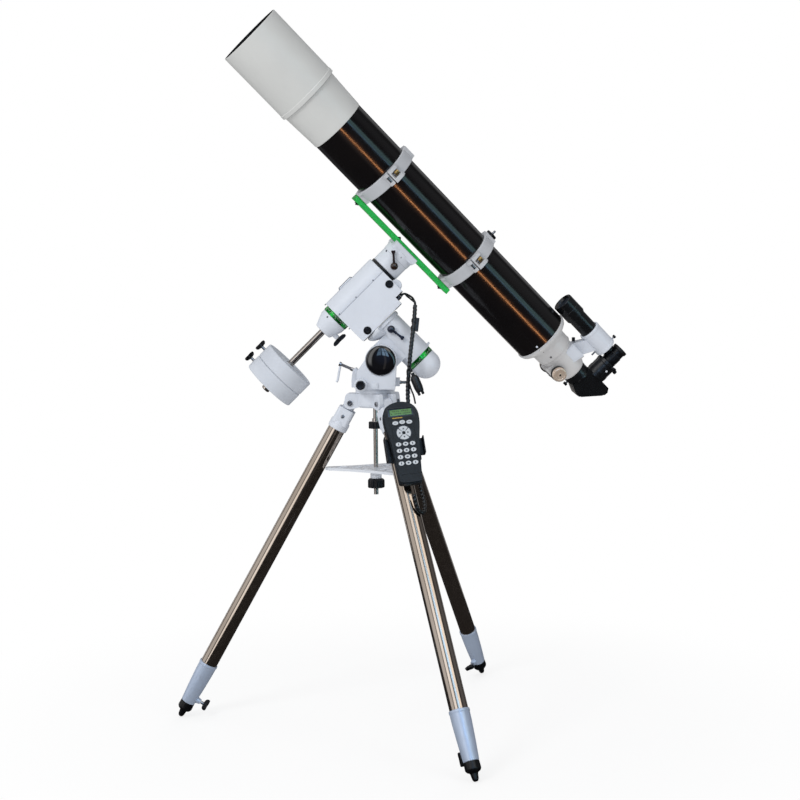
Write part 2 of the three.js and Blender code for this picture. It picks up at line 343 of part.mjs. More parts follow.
// ---- tripod ----------------------------------------------------------------------
const LEGS = [['left', Math.PI + LEG_TURN], ['front', -Math.PI / 3 + LEG_TURN], ['rear', Math.PI / 3 + LEG_TURN]];
{
  let head = lathe([[HEAD_BOT, 6.6], [HEAD_BOT, 42], [850, 46.5], [858, 49], [HEAD_TOP, 49.5], [HEAD_TOP, 6.6]], 48);
  for (const [, a] of LEGS) {
    const R = new THREE.Matrix4().makeRotationZ(a);
    const ear = plateXZ([[30, 847], [56, 843], ...circ(LEG_R0, LEG_Z0, 16.5, 10, -Math.PI * 0.62, Math.PI * 0.14), [LEG_R0 + 12, 878], [LEG_R0 + 7, HEAD_TOP], [30, HEAD_TOP]], 12.8, 25);
    const ear2 = plateXZ([[30, 847], [56, 843], ...circ(LEG_R0, LEG_Z0, 16.5, 10, -Math.PI * 0.62, Math.PI * 0.14), [LEG_R0 + 12, 878], [LEG_R0 + 7, HEAD_TOP], [30, HEAD_TOP]], -25, -12.8);
    head = U(head, tr(ear, R), tr(ear2, R));
  }
  for (const [, a] of LEGS) {
    const R = new THREE.Matrix4().makeRotationZ(a);
    head = head.subtract(tr(U(box(48.5, 100, -12.8, 12.8, 835, 878), box(30, 100, -40, 40, 820, 842.5)), R));
  }
  put('tripod_head', head, 'cast_white');
}
const LEG_L = Math.hypot(LEG_RF - LEG_R0, LEG_Z0);
for (const [nm, a] of LEGS) {
  // leg frame: Z down the leg from its pivot, X outwards
  const c = Math.cos(a), s = Math.sin(a);
  const d = new THREE.Vector3((LEG_RF - LEG_R0) * c, (LEG_RF - LEG_R0) * s, -LEG_Z0).normalize();
  const y = new THREE.Vector3(-s, c, 0);           // tangential
  const x = new THREE.Vector3().crossVectors(y, d); // up and outwards
  const L = new THREE.Matrix4().makeBasis(x, y, d).setPosition(LEG_R0 * c, LEG_R0 * s, LEG_Z0);
  const hole = U(rod(20.9, 62, LEG_L - 175, 28), rod(16.6, LEG_L - 180, LEG_L - 20, 28));
  const tongue = plateXZ([...circ(0, 0, 15, 12, Math.PI, 2 * Math.PI), [16, 26], [-16, 26]].map(p => [p[0], p[1]]), -12.3, 12.3);
  const cast = U(prism(rrect(-23, 23, -25, 25, 8, 4), 19, 62), lathe([[60, 0], [60, 26.5], [80, 26], [80, 0]], 28));
  const tube = rod(LEG_TUBE_R, 70, LEG_L - 60, 28);
  const slv = lathe([[LEG_L - 170, 0], [LEG_L - 170, SLEEVE_R + 0.8], [LEG_L - 163, SLEEVE_R + 0.8], [LEG_L - 161, SLEEVE_R - 0.2], [LEG_L - 120, SLEEVE_R - 1.4], [LEG_L - 58, SLEEVE_R - 4.9], [LEG_L - 47, SLEEVE_R - 5.8], [LEG_L - 47, 0]], 28);
  const clampBoss = tr(rod(7, 18, 31, 16), new THREE.Matrix4().makeTranslation(0, 0, LEG_L - 62).multiply(new THREE.Matrix4().makeBasis(new THREE.Vector3(0, 1, 0), new THREE.Vector3(0, 0, 1), new THREE.Vector3(1, 0, 0))));
  put(`leg_${nm}_upper`, U(tongue, cast, tube, slv, clampBoss).subtract(hole), 'stainless', L);
  const low = U(ring(16.2, 14, 300, LEG_L - 46.4, 28), lathe([[LEG_L - 60, 0], [LEG_L - 60, 15], [LEG_L - 46.6, 15], [LEG_L - 46.6, 19.2], [LEG_L - 28, 19.8], [LEG_L - 23, 17], [LEG_L - 20, 10.5], [LEG_L - 4, 7.5], [LEG_L, 4], [LEG_L, 0]], 28));
  put(`leg_${nm}_lower`, low, 'black_plastic', L);
  const k = wingKnob(34, 12, 14, 4.2, 8);
  put(`leg_${nm}_lock`, tr(k, new THREE.Matrix4().makeTranslation(40, 0, LEG_L - 62).multiply(new THREE.Matrix4().makeBasis(new THREE.Vector3(0, 1, 0), new THREE.Vector3(0, 0, 1), new THREE.Vector3(1, 0, 0)).multiply(new THREE.Matrix4().makeRotationZ(nm === 'front' ? Math.PI / 2 : 0.5)))), 'black_plastic', L);
}
put('centre_rod', U(rod(6, 612, 868, 20), ribKnob(19, 789, 807, 9, 1.6), rod(9, 806, 816, 20)), 'stainless');
{
  // three-armed tray with cut-outs
  const out = [];
  for (const [, a] of [LEGS[1], LEGS[2], LEGS[0]]) {
    const t = 135, w = 17;
    const rot = (px, py) => [px * Math.cos(a) - py * Math.sin(a), px * Math.sin(a) + py * Math.cos(a)];
    out.push(rot(70, -w - 22), rot(t - 6, -w), rot(t, -w + 5), rot(t, w - 5), rot(t - 6, w), rot(70, w + 22));
  }
  const holes = [];
  for (const [, a] of LEGS) for (const [r, rr] of [[92, 17], [50, 12]]) holes.push(circ(r * Math.cos(a), r * Math.sin(a), rr, 12).reverse());
  for (const [, a] of LEGS) { const b = a + Math.PI / 3; holes.push(circ(52 * Math.cos(b), 52 * Math.sin(b), 10, 8).reverse()); }
  const plate = prism(out, TRAY_Z, TRAY_Z + 4, holes);
  const lip = prism(out, TRAY_Z - 3, TRAY_Z + 0.5).subtract(prism(out.map(p => [p[0] * 0.965, p[1] * 0.965]), TRAY_Z - 5, TRAY_Z + 0.6));
  put('accessory_tray', U(plate, lip, rod(15, 655, TRAY_Z + 1, 28)).subtract(rod(6.5, 600, 700, 24)), 'cast_white');
}
put('tray_knob', ribKnob(22.8, 630, 654.6, 9, 1.8).subtract(rod(6.5, 600, 700, 24)), 'black_plastic');

// ---- hand controller -----------------------------------------------------------
// frame: X across, Y up the controller, Z out of its key face
const HC = [78, -170, 765];
const hd = new THREE.Vector3(-0.14, 0.40, 0.905).normalize();
const hx = new THREE.Vector3(1, 0, 0).addScaledVector(hd, -hd.x).normalize().applyAxisAngle(hd, 0.10);
const hz = new THREE.Vector3().crossVectors(hx, hd);
const H = new THREE.Matrix4().makeBasis(hx, hd, hz).setPosition(...HC);
{
  const outline = [[-25, -109], [25, -109], [29.5, -104], [33, -60], [37.8, -5], [43.5, 34], [46.5, 60], [46.5, 74], [42, 90], [32, 102], [16, 109], [0, 111], [-16, 109], [-32, 102], [-42, 90], [-46.5, 74], [-46.5, 60], [-43.5, 34], [-37.8, -5], [-33, -60], [-29.5, -104]];
  const sc = (k) => outline.map(p => [p[0] * k, p[1] * (1 - (1 - k) * 0.42)]);
  let b = U(prism(sc(0.94), -16, -12), prism(outline, -12.2, 8), prism(sc(0.955), 7.8, 14));
  b = b.subtract(prism(rrect(-33, 33, 70, 91, 2, 2), 12.6, 20)).subtract(prism(rrect(-28.5, 28.5, -86, 62, 5, 3), 11.4, 20));
  put('handset_body', b, 'handset_slate', H);
  let kp = prism(rrect(-28.1, 28.1, -85.6, 61.6, 4.6, 1), 12.6, 14.2);
  for (const x of [-18, 0, 18]) kp = kp.add(prism(rrect(x - 6.5, x + 6.5, 48, 56, 3.0, 1), 14, 15.8));
  kp = kp.add(mv(rod(18.5, 14, 16, 32), 0, 24, 0));
  for (let r = 0; r < 4; r++) for (const x of [-18, 0, 18]) kp = kp.add(box(x - 6, x + 6, -11 - r * 17, -1 - r * 17, 14, 16));
  put('handset_keypad', kp, 'keypad_grey', H);
  // holder: back plate with two side lips and a band round the leg tube
  const plate = prism(rrect(-40, 40, -44, 28, 6, 3), -22, -17.5);
  const lipL = U(box(-51, -46, -42, 22, -21, 4), box(-51, -36, -42, 22, -22, -17.5)), lipR = U(box(47.3, 51, -30, 16, -21, 4), box(36, 51, -30, 16, -22, -17.5));
  put('handset_holder', U(plate, lipL, lipR), 'black_plastic', H);
}

// ---- leads ---------------------------------------------------------------------
function lead(pts, r, sides, step) {
  const curve = new THREE.CatmullRomCurve3(pts.map(p => new THREE.Vector3(...p)), false, 'centripetal');
  const n = Math.max(3, Math.min(80, Math.round(curve.getLength() / step)));
  const sh = shapeOf(circ(0, 0, r, sides));
  return toMan(new THREE.ExtrudeGeometry(sh, { steps: n, bevelEnabled: false, extrudePath: curve }));
}
const toW = (m, p) => { const v = new THREE.Vector3(...p).applyMatrix4(m); return [v.x, v.y, v.z]; };
put('lead_dec', lead([toW(P, [80, -16, 79.4]), toW(P, [80.5, -16, 86]), toW(P, [84, -17, 92]), toW(P, [91, -18, 95.5])], 2.8, 8, 7), 'cord_black');
put('lead_bundle', lead([[108, -34, 1116], [106, -46, 1085], [102, -58, 1050], [97, -66, 1010], [94, -70, 984], [90, -74, 940], [87, -78, 900], [88, -84, 860], [96, -98, 800], [104, -118, 745], [111, -142, 695], [118, -166, 650], [127, -190, 612], [124, -208, 594], [112, -218, 600], [104, -222, 620], [100, -222, 642]], 5.8, 8, 22), 'cord_black');
{
  const a = [99, -92, 941], b = [126, -97, 876];
  const body = between(lathe([[0, 0], [0, 5], [4, 7], [14, 9.5], [40, 11.5], [56, 11.5], [60, 9.5], [62, 9.5], [62, 0]], 20), a, b);
  const prong = between(U(mv(box(-2.2, 2.2, -3, 3, 60, 74), -5.2, 0, 0), mv(box(-2.2, 2.2, -3, 3, 60, 72), 5.2, 0, 0)), a, b, 0.5);
  put('power_plug', U(body, prong), 'black_plastic');
}
put('lead_power', lead([[98.7, -92, 942.4], [96, -91.5, 949], [91, -91, 953], [86, -92, 946], [88, -93, 925], [95, -92, 900], [102, -100, 882], [106, -122, 864]], 2.2, 8, 6), 'cord_black');

export default group;
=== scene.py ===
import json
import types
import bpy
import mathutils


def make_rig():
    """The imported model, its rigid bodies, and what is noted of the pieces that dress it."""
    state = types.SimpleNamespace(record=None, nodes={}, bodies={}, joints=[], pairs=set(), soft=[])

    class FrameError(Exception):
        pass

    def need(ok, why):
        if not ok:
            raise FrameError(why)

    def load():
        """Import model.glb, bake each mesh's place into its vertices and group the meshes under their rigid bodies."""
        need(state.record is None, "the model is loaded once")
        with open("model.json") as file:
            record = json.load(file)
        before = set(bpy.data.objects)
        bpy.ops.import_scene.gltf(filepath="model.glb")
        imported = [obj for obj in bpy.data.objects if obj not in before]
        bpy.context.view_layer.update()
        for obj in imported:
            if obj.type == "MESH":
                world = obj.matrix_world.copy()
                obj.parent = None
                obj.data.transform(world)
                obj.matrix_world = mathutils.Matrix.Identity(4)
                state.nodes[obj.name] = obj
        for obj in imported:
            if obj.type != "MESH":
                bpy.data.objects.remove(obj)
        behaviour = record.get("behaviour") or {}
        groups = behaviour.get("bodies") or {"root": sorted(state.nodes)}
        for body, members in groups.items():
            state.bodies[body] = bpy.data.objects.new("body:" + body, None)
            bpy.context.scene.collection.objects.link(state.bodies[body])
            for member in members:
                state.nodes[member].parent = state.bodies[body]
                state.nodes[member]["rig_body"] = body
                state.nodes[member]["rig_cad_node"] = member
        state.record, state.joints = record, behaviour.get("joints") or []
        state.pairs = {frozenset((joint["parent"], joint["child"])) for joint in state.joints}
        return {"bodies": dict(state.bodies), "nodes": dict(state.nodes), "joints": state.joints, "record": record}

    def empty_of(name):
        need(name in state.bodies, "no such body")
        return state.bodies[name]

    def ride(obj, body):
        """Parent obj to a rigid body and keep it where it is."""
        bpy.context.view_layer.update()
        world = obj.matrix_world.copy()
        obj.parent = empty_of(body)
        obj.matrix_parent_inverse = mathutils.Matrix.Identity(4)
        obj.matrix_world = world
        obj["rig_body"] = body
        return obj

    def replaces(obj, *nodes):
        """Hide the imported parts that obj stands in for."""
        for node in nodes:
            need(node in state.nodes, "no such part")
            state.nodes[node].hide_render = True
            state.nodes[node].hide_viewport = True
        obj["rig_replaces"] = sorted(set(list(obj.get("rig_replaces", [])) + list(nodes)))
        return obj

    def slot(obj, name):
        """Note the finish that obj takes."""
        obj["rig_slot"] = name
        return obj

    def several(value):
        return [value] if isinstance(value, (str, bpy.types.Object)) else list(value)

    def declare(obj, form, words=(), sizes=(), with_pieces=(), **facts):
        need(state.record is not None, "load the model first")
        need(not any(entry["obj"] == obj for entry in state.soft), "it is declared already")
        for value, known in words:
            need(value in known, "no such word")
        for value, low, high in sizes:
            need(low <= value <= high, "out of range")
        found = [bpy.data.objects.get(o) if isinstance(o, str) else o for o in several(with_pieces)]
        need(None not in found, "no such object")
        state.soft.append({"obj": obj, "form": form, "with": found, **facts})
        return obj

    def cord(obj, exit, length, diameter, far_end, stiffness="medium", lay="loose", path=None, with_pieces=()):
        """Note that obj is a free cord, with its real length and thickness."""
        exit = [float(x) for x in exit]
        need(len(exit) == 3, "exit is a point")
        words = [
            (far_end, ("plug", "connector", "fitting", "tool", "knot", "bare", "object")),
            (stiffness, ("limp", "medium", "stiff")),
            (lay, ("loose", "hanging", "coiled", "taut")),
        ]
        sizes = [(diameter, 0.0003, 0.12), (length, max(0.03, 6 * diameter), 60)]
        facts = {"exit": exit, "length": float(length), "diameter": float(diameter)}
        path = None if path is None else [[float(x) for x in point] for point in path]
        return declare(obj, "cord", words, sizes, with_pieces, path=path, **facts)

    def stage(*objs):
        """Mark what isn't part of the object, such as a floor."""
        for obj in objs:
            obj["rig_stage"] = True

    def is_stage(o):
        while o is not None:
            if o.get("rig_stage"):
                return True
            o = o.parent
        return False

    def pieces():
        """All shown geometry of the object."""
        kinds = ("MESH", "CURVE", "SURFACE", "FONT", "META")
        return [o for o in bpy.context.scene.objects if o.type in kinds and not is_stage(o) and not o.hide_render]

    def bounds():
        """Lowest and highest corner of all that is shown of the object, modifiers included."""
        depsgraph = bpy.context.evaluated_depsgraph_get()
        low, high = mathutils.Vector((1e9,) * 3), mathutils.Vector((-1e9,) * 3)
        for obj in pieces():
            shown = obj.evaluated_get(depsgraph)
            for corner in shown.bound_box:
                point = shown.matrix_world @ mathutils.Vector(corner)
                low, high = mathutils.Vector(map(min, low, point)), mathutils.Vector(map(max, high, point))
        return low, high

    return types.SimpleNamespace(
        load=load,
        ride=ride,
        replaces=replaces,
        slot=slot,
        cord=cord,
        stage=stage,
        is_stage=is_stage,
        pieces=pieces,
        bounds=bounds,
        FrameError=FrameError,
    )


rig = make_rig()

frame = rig.load()
import json
import math
import bpy
from mathutils import Matrix, Vector
from mathutils.geometry import tessellate_polygon

CAD_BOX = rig.bounds()
N = frame["nodes"]
ORG = Vector((72.23, -18.59, -1.96))
ROOT = Matrix.Diagonal((0.001, 0.001, 0.001, 1)) @ Matrix.Translation(-ORG)
LAT = math.radians(45.5)
DEC0 = math.radians(14.9)
W = Matrix.Identity(4)
P = Matrix.Translation((-43.3, 0, 1141.7)) @ Matrix.Rotation(LAT, 4, 'Y')
S = P @ Matrix.Rotation(DEC0, 4, 'Z')
O = S @ Matrix.Translation((0, 0, 273.2))
HC = Vector((78, -170, 765))
hd = Vector((-0.14, 0.40, 0.905)).normalized()
hx = (Vector((1, 0, 0)) - hd * hd.x).normalized()
hx = Matrix.Rotation(0.10, 3, hd) @ hx
hz = hx.cross(hd)
SQ = math.sqrt


def basis(x, y, z, o=(0, 0, 0)):
    m = Matrix((x, y, z)).transposed().to_4x4()
    m.translation = Vector(o)
    return m


H = basis(hx, hd, hz, HC)
AX = basis((0, 1, 0), (0, 0, 1), (1, 0, 0))      # local Z runs along X
AY = basis((0, 0, 1), (1, 0, 0), (0, 1, 0))      # local Z runs along Y
XZ = basis((1, 0, 0), (0, 0, 1), (0, -1, 0))     # an XZ outline, pushed along -Y
YZ = AX


def T(x, y, z):
    return Matrix.Translation((x, y, z))


def RZ(a):
    return Matrix.Rotation(a, 4, 'Z')


# ---- camera -----------------------------------------------------------------
psi, phi, roll = math.radians(-0.4), math.radians(3.93), math.radians(-0.53)
fw = Vector((math.sin(psi) * math.cos(phi), math.cos(psi) * math.cos(phi), -math.sin(phi)))
rt = Vector((math.cos(psi), -math.sin(psi), 0))
up = rt.cross(fw)
r2 = math.cos(roll) * rt + math.sin(roll) * up
u2 = -math.sin(roll) * rt + math.cos(roll) * up
cd = bpy.data.cameras.new("camera")
cd.lens = 1343.8 * 36 / 800
cd.sensor_width = 36
cd.clip_end = 60
cam = bpy.data.objects.new("camera", cd)
bpy.context.scene.collection.objects.link(cam)
cam.matrix_world = basis(r2, u2, -fw, ROOT @ Vector((90.83, -3573.46, 1109.81)))
bpy.context.scene.camera = cam
bpy.context.scene.view_settings.view_transform = 'Standard'


# ---- materials ----------------------------------------------------------------
def lin(h):
    h = h.lstrip('#')
    c = [int(h[i:i + 2], 16) / 255 for i in (0, 2, 4)]
    return tuple((x / 12.92 if x <= 0.04045 else ((x + 0.055) / 1.055) ** 2.4) for x in c) + (1,)


def mat(name, col, rough, metal=0.0, col2=None, cscale=9.0, rvar=0.06, rscale=40.0, bump=0.0, bscale=600.0,
        bump2=0.0, bscale2=30.0, coat=0.0, coat_rough=0.05, spec=0.5, aniso=0.0, stretch=None, bdist=0.0004, detail=4.0, wear=0.0):
    m = bpy.data.materials.new(name)
    m.use_nodes = True
    nt = m.node_tree
    nt.nodes.clear()
    nn, ll = nt.nodes.new, nt.links.new
    out = nn('ShaderNodeOutputMaterial')
    b = nn('ShaderNodeBsdfPrincipled')
    ll(b.outputs[0], out.inputs[0])
    tc = nn('ShaderNodeTexCoord')
    vec = tc.outputs['Object']
    if stretch is not None:
        mp = nn('ShaderNodeMapping')
        mp.inputs['Rotation'].default_value = stretch[0]
        mp.inputs['Scale'].default_value = stretch[1]
        ll(vec, mp.inputs['Vector'])
        vec_s = mp.outputs['Vector']
    else:
        vec_s = vec
    n1 = nn('ShaderNodeTexNoise')
    n1.inputs['Scale'].default_value = cscale
    n1.inputs['Detail'].default_value = detail
    ll(vec, n1.inputs['Vector'])
    ramp = nn('ShaderNodeValToRGB')
    ramp.color_ramp.elements[0].position = 0.3
    ramp.color_ramp.elements[1].position = 0.72
    ramp.color_ramp.elements[0].color = lin(col2 or col)
    ramp.color_ramp.elements[1].color = lin(col)
    ll(n1.outputs['Fac'], ramp.inputs['Fac'])
    colour = ramp.outputs['Color']
    if wear > 0:
        geo = nn('ShaderNodeNewGeometry')
        pr = nn('ShaderNodeValToRGB')
        pr.color_ramp.elements[0].position = 0.53
        pr.color_ramp.elements[1].position = 0.62
        pr.color_ramp.elements[0].color = (0, 0, 0, 1)
        pr.color_ramp.elements[1].color = (wear, wear, wear, 1)
        ll(geo.outputs['Pointiness'], pr.inputs['Fac'])
        mx = nn('ShaderNodeMix')
        mx.data_type = 'RGBA'
        ll(pr.outputs['Color'], mx.inputs['Factor'])
        ll(colour, mx.inputs['A'])
        mx.inputs['B'].default_value = (0.75, 0.76, 0.78, 1)
        colour = mx.outputs['Result']
    ll(colour, b.inputs['Base Color'])
    n2 = nn('ShaderNodeTexNoise')
    n2.inputs['Scale'].default_value = rscale
    n2.inputs['Detail'].default_value = 5
    ll(vec_s, n2.inputs['Vector'])
    mr = nn('ShaderNodeMapRange')
    mr.inputs['From Min'].default_value = 0.3
    mr.inputs['From Max'].default_value = 0.7
    mr.inputs['To Min'].default_value = max(0.02, rough - rvar)
    mr.inputs['To Max'].default_value = rough + rvar
    ll(n2.outputs['Fac'], mr.inputs['Value'])
    ll(mr.outputs['Result'], b.inputs['Roughness'])
    b.inputs['Metallic'].default_value = metal
    b.inputs['Specular IOR Level'].default_value = spec
    b.inputs['Coat Weight'].default_value = coat
    b.inputs['Coat Roughness'].default_value = coat_rough
    b.inputs['Anisotropic'].default_value = aniso
    prev = None
    for st, sc in ((bump, bscale), (bump2, bscale2)):
        if st <= 0:
            continue
        n3 = nn('ShaderNodeTexNoise')
        n3.inputs['Scale'].default_value = sc
        n3.inputs['Detail'].default_value = 3
        ll(vec_s, n3.inputs['Vector'])
        bp = nn('ShaderNodeBump')
        bp.inputs['Strength'].default_value = st
        bp.inputs['Distance'].default_value = bdist
        ll(n3.outputs['Fac'], bp.inputs['Height'])
        if prev:
            ll(prev, bp.inputs['Normal'])
        prev = bp.outputs['Normal']
    if prev:
        ll(prev, b.inputs['Normal'])
    return m


OROT = O.to_3x3()
tube_dir = OROT @ Vector((1, 0, 0))
m_tube = mat('tube_gloss_black', '#0a090a', 0.16, spec=0.5, rvar=0.03, rscale=22, bump=0.035, bscale=700, col2='#070709', coat=0.0)
m_shield = mat('shield_satin_white', '#c9cac8', 0.42, col2='#c3c4c2', bump=0.22, bscale=900, bump2=0.05, bscale2=60, rvar=0.06)
m_cast = mat('cast_white_paint', '#ced3dc', 0.40, col2='#c6cbd4', bump=0.20, bscale=700, bump2=0.06, bscale2=90, rvar=0.07, coat=0.12, coat_rough=0.2)
m_warm = mat('cast_warm_paint', '#cccbca', 0.40, col2='#c2c1c2', bump=0.20, bscale=700, bump2=0.06, bscale2=90, rvar=0.07, coat=0.1, coat_rough=0.2)
m_ring = mat('ring_grey_paint', '#bbbdc1', 0.45, col2='#aeb1b6', bump=0.30, bscale=520, bump2=0.12, bscale2=110, rvar=0.08, wear=0.12)
m_green = mat('bar_green_anodised', '#35c352', 0.34, metal=0.55, col2='#2fb84c', bump=0.12, bscale=900, rvar=0.05, spec=0.6)
m_circle = mat('circle_green_anodised', '#1f9c3a', 0.22, metal=0.95, col2='#178a30', bump=0.10, bscale=300, rvar=0.05, aniso=0.4)
m_mark = mat('circle_marks_white', '#dfe6df', 0.4, bump=0.1, bscale=800)
m_steel = mat('polished_steel', '#b3aca6', 0.14, metal=1.0, col2='#a39a92', rvar=0.05, rscale=60, bump=0.05, bscale=900, aniso=0.35)
m_leg = mat('leg_tube_steel', '#b5aaa0', 0.11, metal=1.0, col2='#a39689', cscale=4, rvar=0.04, rscale=70, bump=0.04, bscale=900, aniso=0.3)
m_bolt = mat('zinc_steel', '#a9a9ac', 0.25, metal=1.0, col2='#8e8e93', bump=0.12, bscale=900, rvar=0.08)
m_gold = mat('clamp_pin_brass', '#b99a63', 0.25, metal=1.0, col2='#9c7e4c', bump=0.1, bscale=700, rvar=0.07)
m_blk = mat('moulded_black', '#08090d', 0.36, col2='#05060a', bump=0.16, bscale=900, bump2=0.03, bscale2=80, rvar=0.08, spec=0.32)
m_gloss = mat('gloss_black_cap', '#0b0b0f', 0.06, col2='#08080b', coat=0.6, coat_rough=0.03, rvar=0.02, bump=0.02, bscale=300)
m_satin = mat('satin_black_metal', '#0d0e11', 0.26, col2='#090a0c', bump=0.14, bscale=900, rvar=0.06, spec=0.5)
# flat black for the inner linings, also used as painted shade in the rings' tapped holes
m_matt_black_and_hole_shade = mat('flat_black_inside_and_hole_shade', '#060607', 0.85, col2='#040405', bump=0.2, bscale=500)
m_bronze = mat('knob_bronze_satin', '#e6ddd4', 0.24, metal=0.5, col2='#cbb29c', rvar=0.05, bump=0.08, bscale=500, aniso=0.5)
m_leverB = mat('lever_brown_gloss', '#34221a', 0.16, col2='#24160f', coat=0.7, coat_rough=0.06, metal=0.4, bump=0.05, bscale=400)
m_leverS = mat('lever_slate_gloss', '#2b3142', 0.20, col2='#222736', coat=0.6, coat_rough=0.08, metal=0.4, bump=0.05, bscale=400)
m_slate = mat('handset_slate', '#0a1016', 0.5, col2='#080d12', spec=0.36, bump=0.35, bscale=1100, rvar=0.06)
m_side = mat('handset_side_rubber', '#101217', 0.6, col2='#0c0e12', bump=0.4, bscale=1200, rvar=0.08)
m_key = mat('key_rubber_grey', '#bfc4ca', 0.5, col2='#b1b7be', bump=0.25, bscale=1200, rvar=0.06)
m_keyd = mat('key_print_dark', '#27303b', 0.6, bump=0.1, bscale=900)
m_lcd = mat('display_green', '#4d7a30', 0.25, col2='#436c2a', cscale=30, coat=0.5, coat_rough=0.05)
m_lcdt = mat('display_characters', '#16280f', 0.4)
m_amber = mat('label_amber', '#a98a2c', 0.45, bump=0.05)
m_cord = mat('cord_black_rubber', '#09090b', 0.45, col2='#060607', bump=0.3, bscale=900, rvar=0.08)
m_wrap = mat('spiral_wrap_black', '#0c0c0e', 0.30, col2='#070709', bump=0.15, bscale=700, rvar=0.06, coat=0.2, coat_rough=0.2)
m_weight = mat('weight_textured_paint', '#c2c7cf', 0.52, col2='#b6bbc4', bump=0.55, bscale=430, bump2=0.2, bscale2=150, rvar=0.07)
m_tray = mat('tray_white_paint', '#cfd3da', 0.42, col2='#c4c8d0', bump=0.2, bscale=700, rvar=0.06)
m_sleeve = mat('leg_sleeve_paint', '#b1bed3', 0.38, col2='#a6b3c8', metal=0.42, bump=0.2, bscale=700, bump2=0.06, bscale2=90, rvar=0.07)
m_plug = mat('plug_slate_black', '#0c0d13', 0.35, col2='#08090d', bump=0.3, bscale=900, rvar=0.06)
m_gask = mat('gasket_black', '#0a0a0b', 0.55, bump=0.3, bscale=800)
m_seam = mat('seam_shadow', '#8f959f', 0.6, bump=0.2, bscale=700)
m_lens = mat('lens_glass_coated', '#10161d', 0.03, coat=1.0, coat_rough=0.01, spec=0.8, rvar=0.01)
nt = m_lens.node_tree
bs = [n for n in nt.nodes if n.type == 'BSDF_PRINCIPLED'][0]
bs.inputs['Coat Tint'].default_value = (0.55, 0.75, 1.0, 1)
bs.inputs['Transmission Weight'].default_value = 0.35

SLOT = {'tube_gloss_black': 'tube_black', 'shield_satin_white': 'shield_white', 'ring_grey_paint': 'ring_grey', 'bar_green_anodised': 'green_anodised',
        'circle_green_anodised': 'circle_green', 'polished_steel': 'stainless', 'leg_tube_steel': 'stainless', 'zinc_steel': 'stainless', 'moulded_black': 'black_plastic',
        'satin_black_metal': 'satin_black', 'knob_bronze_satin': 'knob_bronze', 'lever_brown_gloss': 'lever_brown', 'lever_slate_gloss': 'lever_dark',
        'handset_slate': 'handset_slate', 'key_rubber_grey': 'keypad_grey', 'cord_black_rubber': 'cord_black', 'spiral_wrap_black': 'cord_black',
        'weight_textured_paint': 'weight_grey', 'lens_glass_coated': 'lens_glass', 'gloss_black_cap': 'black_plastic', 'plug_slate_black': 'black_plastic'}


